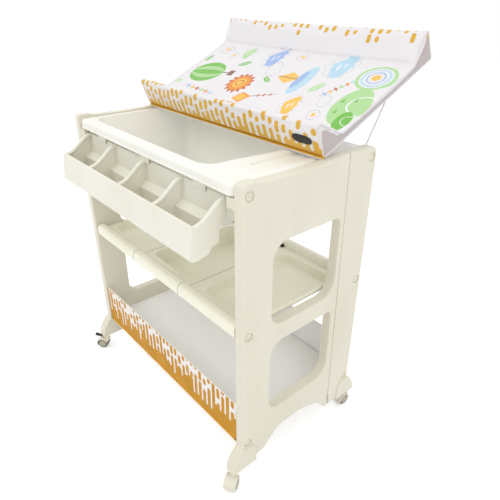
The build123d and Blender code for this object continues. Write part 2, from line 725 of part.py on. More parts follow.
def rail_inside(side):
    """The channel under a bead, which drops over the shelf tube."""
    y = side * TUBE_Y
    inner = RAIL_HALF_WIDTH - SHELF_WALL
    low = RAIL_TOP - RAIL_HEIGHT - CUT_OVERRUN
    top = SHELF_TUBE_Z + TUBE_RADIUS + SEAT_GAP
    corners = [(y - inner, low), (y + inner, low), (y + inner, top), (y - inner, top)]
    return rounded_outline(corners, [0, 0, RAIL_INNER_ROUND, RAIL_INNER_ROUND])


def dish(x_range, depth, grow):
    """A drafted, round-cornered dish, or its outside when grow is a wall."""
    size_x = x_range[1] - x_range[0] + 2 * grow
    size_y = 2 * (DISH_HALF_Y + grow)
    middle = (x_range[0] + x_range[1]) / 2
    top = Pos(middle, 0, SHELF_PLATE_TOP) * RectangleRounded(
        size_x, size_y, DISH_CORNER + grow
    )
    body = extrude(top, amount=-(depth + grow), taper=DISH_DRAFT_DEG)
    floor = body.faces().sort_by(Axis.Z)[0]
    return fillet(floor.edges(), DISH_FLOOR_ROUND + grow)


def shelf_module(x_range, dish_range, depth):
    plate_low = SHELF_PLATE_TOP - SHELF_WALL
    inner_y = TUBE_Y - RAIL_HALF_WIDTH + SHELF_WALL
    shelf = block(x_range, (-inner_y, inner_y), (plate_low, SHELF_PLATE_TOP))
    for side in SIGNS:
        shelf += side_plate(rail_outside(side), *x_range)
    shelf += dish(dish_range, depth, SHELF_WALL)
    for side in SIGNS:
        shelf -= side_plate(rail_inside(side), *x_range)
    return shelf - dish(dish_range, depth, 0)


def shelf_end_lip(side):
    """The thin lip along a shelf's outer end."""
    outer = side * SHELF_HALF_X
    inner = side * (SHELF_HALF_X - SHELF_WALL)
    reach = TUBE_Y - RAIL_HALF_WIDTH + SHELF_WALL
    z_range = (SHELF_PLATE_TOP - SHELF_WALL, SHELF_PLATE_TOP + SHELF_LIP_HEIGHT)
    return block(sorted((outer, inner)), (-reach, reach), z_range)


def make_shelf():
    joint = SHELF_JOINT_X
    gap = SHELF_JOINT_GAP / 2
    middle_dish = (-MIDDLE_DISH_HALF_X, MIDDLE_DISH_HALF_X)
    parts["shelf_tray_middle"] = shelf_module(
        (-joint + gap, joint - gap), middle_dish, MIDDLE_DISH_DEPTH
    )
    for side, word in zip(SIGNS, ("left", "right")):
        x_range = sorted((side * SHELF_HALF_X, side * (joint + gap)))
        dish_range = sorted(side * x for x in SIDE_DISH_X)
        module = shelf_module(x_range, dish_range, SIDE_DISH_DEPTH)
        parts[f"shelf_tray_{word}"] = module + shelf_end_lip(side)
    parts["shelf_clips"] = Compound(children=[shelf_clip(side) for side in SIGNS])


def shelf_clip(side):
    """The black clip that straddles two shelf trays at their rear bead."""
    x = side * SHELF_JOINT_X
    y = TUBE_Y - RAIL_HALF_WIDTH
    clip = block(
        (x - CLIP_WIDTH / 2, x + CLIP_WIDTH / 2),
        (y - CLIP_DEPTH, y),
        (SHELF_PLATE_TOP, SHELF_PLATE_TOP + CLIP_HEIGHT),
    )
    return fillet(clip.edges().filter_by(Axis.Z), CLIP_ROUND)


# ---- Basket ----
def make_basket():
    half_x = PANEL_IN - BASKET_FLOOR_GAP
    low = BASKET_TUBE_Z + TUBE_RADIUS + SEAT_GAP
    side_in = TUBE_Y + TUBE_RADIUS + BASKET_SIDE_CLEARANCE
    half_y = side_in - BASKET_SIDE_CLEARANCE
    floor = block((-half_x, half_x), (-half_y, half_y), (low, low + BASKET_FLOOR_THICKNESS))
    parts["basket_floor"] = fillet(floor.edges().filter_by(Axis.Z), BASKET_FLOOR_CORNER)
    for side, word in zip(SIGNS, ("front", "rear")):
        y_range = sorted((side * side_in, side * (side_in + BASKET_SIDE_THICKNESS)))
        reach = PANEL_IN - SEAT_GAP
        parts[f"basket_panel_{word}"] = block((-reach, reach), y_range, BASKET_SIDE_Z)


# ---- Feet and casters ----
def make_foot(x_sign, y_sign):
    ends = sorted((x_sign * PANEL_IN, x_sign * (PANEL_OUT + FOOT_OVERHANG)))
    foot = side_plate(foot_profile(y_sign), *ends)
    for face in (foot.faces().sort_by(Axis.X)[0], foot.faces().sort_by(Axis.X)[-1]):
        outer_edges = face.edges().filter_by(
            lambda e: abs(e.center().Y) > PANEL_HALF_DEPTH and e.center().Z > FOOT_Z + FOOT_ROUND
        )
        foot = fillet(outer_edges, FOOT_ROUND)
    bore = Pos(x_sign * PANEL_MID_X, y_sign * CASTER_Y, FOOT_Z)
    return foot - bore * upright(STEM_RADIUS + FIT_GAP, STEM_BORE_DEPTH)


def hood_wedge():
    """The open lower side of a caster's hood, in its own side view."""
    reach = 3 * HOOD_RADIUS
    axle = (-CASTER_TRAIL, WHEEL_RADIUS)
    points = [axle]
    for angle in HOOD_OPENING_DEG:
        turn = radians(angle)
        points.append((axle[0] + reach * cos(turn), axle[1] + reach * sin(turn)))
    return make_face(Polyline(*points, close=True))


def make_hood(with_ears):
    """A caster's moulded hood, with the stem's axis at the origin and its trail along -Y."""
    half = HOOD_WIDTH / 2
    trail = -CASTER_TRAIL
    hood = rod_x(trail, WHEEL_RADIUS, HOOD_RADIUS, -half, half)
    for face in (hood.faces().sort_by(Axis.X)[0], hood.faces().sort_by(Axis.X)[-1]):
        hood = fillet(face.edges(), HOOD_ROUND)
    boss_height = CASTER_BOSS_TOP - CASTER_BOSS_FOOT
    hood += Pos(0, 0, CASTER_BOSS_FOOT) * upright(CASTER_BOSS_RADIUS, boss_height)
    if with_ears:
        hood += pedal_ears()
    hood -= side_plate(hood_wedge(), -half, half)
    hood += rod_x(trail, WHEEL_RADIUS, HUB_RADIUS, -WEB_THICKNESS / 2, WEB_THICKNESS / 2)
    for side in SIGNS:
        ends = sorted((side * WEB_THICKNESS / 2, side * (half + CUT_OVERRUN)))
        hood -= rod_x(trail, WHEEL_RADIUS, HOOD_INNER_RADIUS, *ends)
    hood -= rod_x(trail, WHEEL_RADIUS, AXLE_RADIUS + FIT_GAP, -half, half)
    stem_room = upright(STEM_RADIUS + FIT_GAP, CASTER_BOSS_TOP)
    return hood - Pos(0, 0, CASTER_BOSS_TOP - STEM_SEAT_DEPTH) * stem_room


def pedal_ears():
    """Two ears on the hood that carry the brake pedal's pin."""
    y, z = PEDAL_PIVOT
    ears = []
    for side in SIGNS:
        inner = side * (PEDAL_WIDTH / 2 + SEAT_GAP)
        ends = sorted((inner, inner + side * EAR_THICKNESS))
        ear = Pos(y, z) * Circle(PEDAL_BARREL_RADIUS)
        ear += Pos(y, z - EAR_DROP / 2) * Rectangle(2 * PEDAL_BARREL_RADIUS, EAR_DROP)
        ears.append(side_plate(ear, *ends) - rod_x(y, z, PIN_RADIUS + FIT_GAP, *ends))
    return ears


def make_stem():
    """A steel stem with the collar that the foot rests on."""
    foot = CASTER_BOSS_TOP - STEM_SEAT_DEPTH + FIT_GAP
    top = FOOT_Z + STEM_BORE_DEPTH - SEAT_GAP
    stem = Pos(0, 0, foot) * upright(STEM_RADIUS, top - foot)
    collar_height = FOOT_Z - CASTER_BOSS_TOP - 2 * FIT_GAP
    collar = upright(STEM_COLLAR_RADIUS, collar_height)
    return stem + Pos(0, 0, CASTER_BOSS_TOP + FIT_GAP) * collar


def make_wheel(side):
    """One of a caster's twin wheels, on the given side of the hood's web."""
    near = WEB_THICKNESS / 2 + WHEEL_SIDE_GAP
    ends = sorted((side * near, side * (near + WHEEL_WIDTH)))
    wheel = rod_x(-CASTER_TRAIL, WHEEL_RADIUS, WHEEL_RADIUS, *ends)
    for face in (wheel.faces().sort_by(Axis.X)[0], wheel.faces().sort_by(Axis.X)[-1]):
        wheel = fillet(face.edges(), WHEEL_ROUND)
    return wheel - rod_x(-CASTER_TRAIL, WHEEL_RADIUS, AXLE_RADIUS + FIT_GAP / 2, *ends)


def make_pedal():
    """A brake pedal: a barrel on its pin, an arm and a thumb-sized pad."""
    (y0, z0), (y1, z1) = PEDAL_PIVOT, PEDAL_TIP
    length = sqrt((y1 - y0) ** 2 + (z1 - z0) ** 2)
    lean = degrees(atan2(z1 - z0, y1 - y0))
    arm = Pos(y0, z0) * Rot(0, 0, lean) * Pos(length / 2, 0)
    arm *= Rectangle(length, PEDAL_THICKNESS)
    pad = Pos(y1, z1) * Rot(0, 0, lean) * Rectangle(PEDAL_PAD_LENGTH, PEDAL_PAD_THICKNESS)
    shape = Pos(y0, z0) * Circle(PEDAL_BARREL_RADIUS) + arm + pad
    half = PEDAL_WIDTH / 2
    return side_plate(shape, -half, half) - rod_x(
        y0, z0, PIN_RADIUS + FIT_GAP, -half, half
    )


def make_casters():
    for corner, angle in CASTER_ANGLES.items():
        y_word, x_word = corner.split("_")
        x_sign = -1 if x_word == "left" else 1
        y_sign = -1 if y_word == "front" else 1
        parts[f"foot_{corner}"] = make_foot(x_sign, y_sign)
        place = Pos(x_sign * PANEL_MID_X, y_sign * CASTER_Y, 0) * Rot(0, 0, angle)
        braked = corner in BRAKED_CASTERS
        parts[f"caster_hood_{corner}"] = place * make_hood(braked)
        parts[f"caster_stem_{corner}"] = place * make_stem()
        half = WEB_THICKNESS / 2 + WHEEL_SIDE_GAP + WHEEL_WIDTH
        axle = rod_x(-CASTER_TRAIL, WHEEL_RADIUS, AXLE_RADIUS, -half, half)
        parts[f"caster_axle_{corner}"] = place * axle
        for side, word in zip(SIGNS, ("a", "b")):
            parts[f"caster_wheel_{word}_{corner}"] = place * make_wheel(side)
        if braked:
            y, z = PEDAL_PIVOT
            reach = PEDAL_WIDTH / 2 + SEAT_GAP + EAR_THICKNESS
            parts[f"brake_pin_{corner}"] = place * rod_x(y, z, PIN_RADIUS, -reach, reach)
            parts[f"brake_pedal_{corner}"] = place * make_pedal()


# ---- Changing pad and its wire stay ----
def stay_places():
    """Works out the propped-up pad: its front corner, the stay's two pivots and angles.

    The closed pad lies flat on the panels, which gives the wire's length. The same wire,
    swung up, then holds the pad, whose front corner rests on the panels' top edges.
    """
    closed_y = TUBE_Y - STAY_FOLDED_REACH
    closed_z = PANEL_TOP + PAD_CLOSED_GAP - STAY_PIVOT_DROP
    reach = sqrt((closed_y - TUBE_Y) ** 2 + (closed_z - TOP_TUBE_Z) ** 2)
    closed_angle = atan2(closed_z - TOP_TUBE_Z, closed_y - TUBE_Y)
    open_angle = radians(STAY_OPEN_DEG)
    pivot_y = TUBE_Y + reach * cos(open_angle)
    pivot_z = TOP_TUBE_Z + reach * sin(open_angle)
    corner_z = PANEL_TOP - PAD_SEAT_DROP
    corner_to_pivot = sqrt(STAY_PIVOT_U**2 + STAY_PIVOT_DROP**2)
    tilt = asin((pivot_z - corner_z) / corner_to_pivot)
    tilt += atan2(STAY_PIVOT_DROP, STAY_PIVOT_U)
    corner_y = pivot_y - STAY_PIVOT_U * cos(tilt) - STAY_PIVOT_DROP * sin(tilt)
    sweep_deg = degrees(closed_angle - open_angle)
    return {
        "pad_corner": (corner_y, corner_z),
        "pad_tilt_deg": degrees(tilt),
        "pivot": (pivot_y, pivot_z),
        "open_angle": open_angle,
        "sweep_deg": sweep_deg,
        "ratio": -(sweep_deg + degrees(tilt)) / sweep_deg,
    }


def pad_place():
    places = stay_places()
    corner_y, corner_z = places["pad_corner"]
    return Pos(0, corner_y, corner_z) * Rot(places["pad_tilt_deg"], 0, 0)


def bolster(height, width, lean, facing):
    """A wedge bolster in the pad's own side view: steep outside, sloping inside."""
    base = BOARD_THICKNESS
    outer = 0.0 if facing > 0 else PAD_BASE_DEPTH
    slope_foot = base + MAT_THICKNESS
    points = [
        (outer, base),
        (outer + facing * lean, base + height),
        (outer + facing * (lean + BOLSTER_CREST), base + height),
        (outer + facing * width, slope_foot),
        (outer + facing * width, base),
    ]
    radii = [BOLSTER_FOOT_ROUND, BOLSTER_OUTER_ROUND, BOLSTER_ROUND, 0, 0]
    return rounded_outline(points, radii)


def make_pad():
    place = pad_place()
    half = PAD_HALF_LENGTH
    board = block(
        (-half + BOARD_MARGIN, half - BOARD_MARGIN),
        (0, PAD_BASE_DEPTH),
        (0, BOARD_THICKNESS),
    )
    parts["pad_board"] = place * fillet(board.edges().filter_by(Axis.Z), BOARD_CORNER)
    mat_y = (FRONT_BOLSTER_WIDTH, PAD_BASE_DEPTH - REAR_BOLSTER_WIDTH)
    mat_z = (BOARD_THICKNESS, BOARD_THICKNESS + MAT_THICKNESS)
    parts["pad_mat"] = place * block((-half, half), mat_y, mat_z)
    front = bolster(FRONT_BOLSTER_HEIGHT, FRONT_BOLSTER_WIDTH, FRONT_BOLSTER_LEAN, 1)
    rear = bolster(REAR_BOLSTER_HEIGHT, REAR_BOLSTER_WIDTH, REAR_BOLSTER_LEAN, -1)
    parts["pad_bolster_front"] = place * side_plate(front, -half, half)
    parts["pad_bolster_rear"] = place * side_plate(rear, -half, half)
    clips = []
    for x in STAY_CLIPS_X:
        clips.append(place * stay_clip(x))
    parts["stay_clips"] = Compound(children=clips)


def stay_clip(x):
    """A clip under the board that the wire stay's cross bar turns in."""
    ends = (x - STAY_CLIP_LENGTH / 2, x + STAY_CLIP_LENGTH / 2)
    y_range = (STAY_PIVOT_U - STAY_CLIP_HALF_WIDTH, STAY_PIVOT_U + STAY_CLIP_HALF_WIDTH)
    clip = block(ends, y_range, (-STAY_CLIP_DEPTH, 0))
    low_edges = clip.faces().sort_by(Axis.Z)[0].edges().filter_by(Axis.X)
    clip = fillet(low_edges, STAY_CLIP_ROUND)
    return clip - rod_x(
        STAY_PIVOT_U, -STAY_PIVOT_DROP, STAY_WIRE_RADIUS + FIT_GAP, *ends
    )


def make_stay():
    """The bent wire: a cross bar, two legs, and an eye round the rear top tube at each end."""
    places = stay_places()
    eye_radius = TUBE_RADIUS + STAY_EYE_CLEARANCE + STAY_WIRE_RADIUS
    angle = places["open_angle"]
    start_y = TUBE_Y + eye_radius * cos(angle)
    start_z = TOP_TUBE_Z + eye_radius * sin(angle)
    pivot_y, pivot_z = places["pivot"]
    path = FilletPolyline(
        (-STAY_X, start_y, start_z),
        (-STAY_X, pivot_y, pivot_z),
        (STAY_X, pivot_y, pivot_z),
        (STAY_X, start_y, start_z),
        radius=STAY_BEND_RADIUS,
    )
    section = Plane(origin=path @ 0, z_dir=path % 0) * Circle(STAY_WIRE_RADIUS)
    stay = sweep(section, path=path)
    for side in SIGNS:
        ring_plane = Plane(origin=(side * STAY_X, TUBE_Y, TOP_TUBE_Z), z_dir=(1, 0, 0))
        stay += ring_plane * Torus(eye_radius, STAY_WIRE_RADIUS)
    parts["wire_stay"] = stay


def middle_of_depth():
    """Half way between the frontmost and rearmost points of the whole table."""
    boxes = [shape.bounding_box() for shape in parts.values()]
    return (min(box.min.Y for box in boxes) + max(box.max.Y for box in boxes)) / 2


def build_all():
    make_end_panels()
    make_tubes()
    make_tub()
    make_tray()
    make_tray_brackets()
    make_shelf()
    make_basket()
    make_casters()
    make_pad()
    make_stay()


def write_parts():
    """Writes each node, with the origin on the floor under the middle of the table."""
    os.makedirs("parts", exist_ok=True)
    shift = Pos(0, -middle_of_depth(), 0)
    for name, shape in parts.items():
        export_step(shift * shape, f"parts/{name}.step")


if __name__ == "__main__":
    build_all()
    write_parts()
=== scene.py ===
"""The looks of a baby changing table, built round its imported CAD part."""

import logging
import math
from dataclasses import dataclass, field, replace
from enum import Enum
from typing import Callable, Sequence

import bmesh
import bpy
import numpy as np
from mathutils import Matrix, Vector
from mathutils.bvhtree import BVHTree


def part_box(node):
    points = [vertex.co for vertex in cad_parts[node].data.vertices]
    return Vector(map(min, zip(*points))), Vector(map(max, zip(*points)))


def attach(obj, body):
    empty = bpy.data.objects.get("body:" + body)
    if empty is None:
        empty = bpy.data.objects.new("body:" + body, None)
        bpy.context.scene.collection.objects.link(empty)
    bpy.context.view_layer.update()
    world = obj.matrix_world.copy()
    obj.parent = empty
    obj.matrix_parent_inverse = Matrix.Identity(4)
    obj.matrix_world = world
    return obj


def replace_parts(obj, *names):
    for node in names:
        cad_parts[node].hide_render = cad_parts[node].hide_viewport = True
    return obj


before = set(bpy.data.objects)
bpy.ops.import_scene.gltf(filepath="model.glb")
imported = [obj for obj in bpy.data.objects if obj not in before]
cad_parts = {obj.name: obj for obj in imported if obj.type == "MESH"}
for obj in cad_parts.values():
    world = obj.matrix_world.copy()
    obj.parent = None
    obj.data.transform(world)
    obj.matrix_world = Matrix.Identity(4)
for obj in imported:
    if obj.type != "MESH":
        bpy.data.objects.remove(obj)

LOG = logging.getLogger("changing_table")
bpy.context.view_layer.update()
MM = 0.001
SIDES = (("left", -1), ("right", 1))
FACINGS = (("front", -1), ("rear", 1))
WHITE = (1.0, 1.0, 1.0)
Point = tuple[float, float, float]
Colour = tuple[float, float, float]
Face = tuple[int, ...]
Socket = bpy.types.NodeSocket


def linear(red: int, green: int, blue: int) -> Colour:
    """Turns a screen colour, from 0 to 255 a channel, into the linear one that shaders take."""
    shares = (red / 255, green / 255, blue / 255)
    return tuple(s / 12.92 if s <= 0.04045 else ((s + 0.055) / 1.055) ** 2.4 for s in shares)


def dimmed(colour: Colour, share: float) -> Colour:
    """Returns a colour with every channel scaled."""
    return tuple(channel * share for channel in colour)


class Grain(Enum):
    """The noises that the finishes use: how fine each is, and how deeply layered."""

    PLASTIC_FLOW = (6.0, 4.0)
    PLASTIC_DUST = (55.0, 6.0)
    PLASTIC_RIPPLE = (14.0, 2.0)
    PLASTIC_WEAR = (30.0, 4.0)
    SPARK = (900.0, 2.0)
    COAT_CLOUD = (11.0, 3.0)
    COAT_PEEL = (420.0, 2.0)
    COAT_WEAR = (90.0, 3.0)
    TURNING = (320.0, 3.0)
    ZINC_DULL = (120.0, 4.0)
    CLOTH_CREASE = (9.0, 3.0)
    CLOTH_SOIL = (7.0, 5.0)
    CLOTH_WEAR = (60.0, 3.0)
    CLOTH_INK = (18.0, 3.0)
    VINYL_MOTTLE = (5.0, 4.0)
    VINYL_WOBBLE = (45.0, 2.0)
    VINYL_CRAYON = (240.0, 2.0)
    VINYL_CREASE = (16.0, 3.0)
    VINYL_LEATHER = (1300.0, 2.0)
    VINYL_WEAR = (26.0, 4.0)
    WHEEL_DUST = (220.0, 4.0)
    WHEEL_WEAR = (80.0, 3.0)


class NodeBench:
    """A node tree, with short calls for the nodes that the finishes use."""

    def __init__(self, tree: bpy.types.NodeTree) -> None:
        """Works on that tree."""
        self.tree = tree

    def node(self, kind: str, inputs: dict[int | str, object],
             **settings: object) -> bpy.types.Node:
        """Adds a node and feeds it.

        Args:
            kind: The node's type, without its ShaderNode prefix.
            inputs: What goes in, by the socket's number or name.
            **settings: Properties to set on it.

        Returns:
            The new node.
        """
        made = self.tree.nodes.new("ShaderNode" + kind)
        for name, value in settings.items():
            setattr(made, name, value)
        for key, value in inputs.items():
            self.feed(made.inputs[key], value)
        return made

    def feed(self, socket: Socket, value: object) -> None:
        """Links a socket to another, or sets it to a constant.

        Args:
            socket: The input socket.
            value: An output socket, a number or a tuple; None leaves the socket as it is.
        """
        if isinstance(value, bpy.types.NodeSocket):
            self.tree.links.new(value, socket)
        elif value is not None:
            socket.default_value = (*value, 1.0) if socket.type == "RGBA" else value

    def maths(self, operation: str, *values: object, clamp: bool = False) -> Socket:
        """Adds a Math node and returns its value."""
        inputs = dict(enumerate(values))
        return self.node("Math", inputs, operation=operation, use_clamp=clamp).outputs[0]

    def chain(self, operation: str, first: object, *others: object) -> Socket:
        """Joins any number of values by one operation.

        Args:
            operation: The Math node's operation.
            first: The first value.
            *others: The values that follow.

        Returns:
            The result.
        """
        for other in others:
            first = self.maths(operation, first, other)
        return first

    def past(self, value: object, limit: object) -> Socket:
        """Returns how far a value has passed a limit, or 0."""
        return self.maths("MAXIMUM", self.maths("SUBTRACT", value, limit), 0.0)

    def vector(self, operation: str, *values: object) -> Socket:
        """Adds a Vector Math node and returns its vector, or its number where it makes one."""
        made = self.node("VectorMath", dict(enumerate(values)), operation=operation)
        return made.outputs["Value" if operation in ("LENGTH", "DOT_PRODUCT") else "Vector"]

    def place(self) -> Socket:
        """Returns the point on the surface, in the object's own frame."""
        return self.node("TexCoord", {}).outputs["Object"]

    def split(self, value: object) -> tuple[Socket, ...]:
        """Splits a vector into its three parts."""
        return tuple(self.node("SeparateXYZ", {0: value}).outputs)

    def joined(self, x: object, y: object, z: object = 0.0) -> Socket:
        """Joins three values into a vector."""
        return self.node("CombineXYZ", {0: x, 1: y, 2: z}).outputs[0]

    def noise(self, where: object, grain: Grain, output: str = "Fac") -> Socket:
        """Adds smooth noise and returns its strength from 0 to 1, or its colour."""
        inputs = dict(zip(("Vector", "Scale", "Detail"), (where, *grain.value)))
        return self.node("TexNoise", inputs).outputs[output]

    def chance(self, x: object, y: object, seed: float) -> Socket:
        """Returns an even random number from 0 to 1 for each whole x and y."""
        where = self.joined(x, y, seed)
        return self.node("TexWhiteNoise", {"Vector": where}, noise_dimensions="3D").outputs["Value"]

    def fade(self, value: object, low: float, high: float, at_low: object = 0.0,
             at_high: object = 1.0, kind: str = "SMOOTHSTEP") -> Socket:
        """Maps a value from one range to another, held at both ends."""
        inputs = dict(enumerate((value, low, high, at_low, at_high)))
        return self.node("MapRange", inputs, interpolation_type=kind).outputs[0]

    def drift(self, where: object, grain: Grain, low: float, high: float) -> Socket:
        """Returns a value that drifts over the surface between two levels."""
        return self.fade(self.noise(where, grain), 0.2, 0.8, low, high)

    def blend(self, share: object, first: object, second: object) -> Socket:
        """Mixes two colours by a share from 0 to 1."""
        return self.node("Mix", {0: share, 6: first, 7: second}, data_type="RGBA").outputs[2]

    def seen(self) -> Socket:
        """Tells the rays that come from the eye, from gloss and through clear things.

        Returns:
            1 for such a ray and 0 for any other.
        """
        path = self.node("LightPath", {}).outputs
        kinds = ("Camera", "Glossy", "Transmission")
        return self.chain("MAXIMUM", *(path[f"Is {kind} Ray"] for kind in kinds))

    def bump(self, height: object, strength: float, distance: float,
             normal: object = None) -> Socket:
        """Adds a bump and returns the bent normal."""
        inputs = {"Strength": strength, "Distance": distance, "Height": height, "Normal": normal}
        return self.node("Bump", inputs).outputs["Normal"]


class ShaderBench(NodeBench):
    """A new material's node tree, round its principled shader."""

    def __init__(self, name: str) -> None:
        """Starts the material.

        Args:
            name: Its name.
        """
        self.material = bpy.data.materials.new(name)
        self.material.use_nodes = True
        super().__init__(self.material.node_tree)
        self.shader = self.tree.nodes["Principled BSDF"]

    def paint(self, **sockets: object) -> None:
        """Feeds the shader's own sockets, named with underscores for spaces."""
        for name, value in sockets.items():
            self.feed(self.shader.inputs[name.replace("_", " ")], value)


@dataclass(frozen=True)
class Finish:
    """One surface finish. Each kind says how it coats its material."""

    name: str
    colour: Colour

    def make(self) -> bpy.types.Material:
        """Builds the finish's material.

        Returns:
            The material.
        """
        bench = ShaderBench(self.name)
        self.coat(bench)
        return bench.material

    def coat(self, bench: ShaderBench) -> None:
        """Lays the finish on the material that the bench holds."""
        raise NotImplementedError


@dataclass(frozen=True)
class MouldedPlastic(Finish):
    """A satin injection-moulded plastic with a fine spark grain and faint flow marks."""

    shade: Colour
    roughness: float = 0.42
    grain: float = 0.25
    scuffs: float = 0.06
    joints: float = 0.0
    joint_half: float = 0.9 * MM
    worn: float = 0.72
    joint_shade: float = 0.22

    def coat(self, bench: ShaderBench) -> None:
        """Lays the plastic on. Where it has joints, a thin darker line runs along each: painted
        shade for the shadow in the gap between the parts.

        Args:
            bench: The material being made.
        """
        where = bench.place()
        flow = bench.noise(bench.vector("MULTIPLY", where, (1.0, 1.0, 0.35)), Grain.PLASTIC_FLOW)
        tone = bench.blend(bench.fade(flow, 0.3, 0.75), self.colour, self.shade)
        dust = bench.fade(bench.noise(where, Grain.PLASTIC_DUST), 0.6, 0.85, 0.0, self.scuffs)
        tone = bench.blend(dust, tone, dimmed(self.shade, self.worn))
        if self.joints:
            # Painted shade: a thin dark line at each joint stands in for the shadow in the gap
            # between the trays.
            across = bench.maths("ABSOLUTE", bench.split(where)[0])
            away = bench.maths("ABSOLUTE", bench.maths("SUBTRACT", across, self.joints))
            line = bench.fade(away, self.joint_half * 0.6, self.joint_half * 1.6, 0.85, 0.0)
            tone = bench.blend(line, tone, dimmed(self.shade, self.joint_shade))
        normal = bench.bump(bench.noise(where, Grain.PLASTIC_RIPPLE), 0.12, 2.0 * MM)
        normal = bench.bump(bench.noise(where, Grain.SPARK), self.grain, 0.4 * MM, normal)
        rough = bench.drift(where, Grain.PLASTIC_WEAR, self.roughness - 0.05, self.roughness + 0.08)
        bench.paint(
            Base_Color=tone, Roughness=rough, Normal=normal, IOR=1.46, Specular_IOR_Level=0.4,
        )


@dataclass(frozen=True)
class CoatedSteel(Finish):
    """Steel tube or wire with a smooth powder coat that shows a slight orange peel."""

    roughness: float = 0.34

    def coat(self, bench: ShaderBench) -> None:
        """Lays the powder coat on.

        Args:
            bench: The material being made.
        """
        where = bench.place()
        cloud = bench.fade(bench.noise(where, Grain.COAT_CLOUD), 0.25, 0.8)
        bench.paint(
            Base_Color=bench.blend(cloud, self.colour, dimmed(self.colour, 0.9)),
            Normal=bench.bump(bench.noise(where, Grain.COAT_PEEL), 0.18, 0.5 * MM),
            Roughness=bench.drift(where, Grain.COAT_WEAR, self.roughness, self.roughness + 0.1),
            Coat_Weight=0.25, Coat_Roughness=0.2,
        )


@dataclass(frozen=True)
class PlatedSteel(Finish):
    """Zinc-plated fixings with fine turning marks and dull spots."""

    def coat(self, bench: ShaderBench) -> None:
        """Lays the plating on.

        Args:
            bench: The material being made.
        """
        where = bench.place()
        marks = bench.noise(bench.vector("MULTIPLY", where, (1.0, 1.0, 8.0)), Grain.TURNING)
        dull = bench.fade(bench.noise(where, Grain.ZINC_DULL), 0.35, 0.75)
        bench.paint(
            Base_Color=bench.blend(dull, self.colour, dimmed(self.colour, 0.7)),
            Roughness=bench.fade(marks, 0.2, 0.8, 0.28, 0.5),
            Normal=bench.bump(marks, 0.2, 0.3 * MM), Metallic=1.0,
        )


@dataclass(frozen=True)
class PlainCloth(Finish):
    """A coated plain-weave cloth, or a smooth lining when the weave is faint."""

    shade: Colour
    pitch: float = 0.9 * MM
    weave: float = 0.35
    drag: Point = (1.0, 2.6, 2.6)

    def surface(self, bench: ShaderBench, colour: object, soil_most: float = 0.35) -> None:
        """Adds weave, creases and a dull gloss to a shader whose colour is known.

        Args:
            bench: The material being made.
            colour: The colour socket, or a plain colour.
            soil_most: How far the shade may show through.
        """
        where = bench.place()
        x, y, z = bench.split(where)
        turns = 2 * math.pi / self.pitch
        warp = bench.maths("SINE", bench.maths("MULTIPLY", x, turns))
        weft = bench.maths("SINE", bench.maths("MULTIPLY", bench.maths("ADD", y, z), turns))
        creases = bench.noise(bench.vector("MULTIPLY", where, self.drag), Grain.CLOTH_CREASE)
        soft = bench.bump(creases, 0.3, 4.0 * MM)
        soil = bench.fade(bench.noise(where, Grain.CLOTH_SOIL), 0.3, 0.8, 0.0, soil_most)
        bench.paint(
            Normal=bench.bump(bench.maths("MULTIPLY", warp, weft), self.weave, 0.3 * MM, soft),
            Base_Color=bench.blend(soil, colour, self.shade),
            Roughness=bench.drift(where, Grain.CLOTH_WEAR, 0.5, 0.68), Specular_IOR_Level=0.3,
        )

    def coat(self, bench: ShaderBench) -> None:
        """Lays the plain cloth on."""
        self.surface(bench, self.colour)


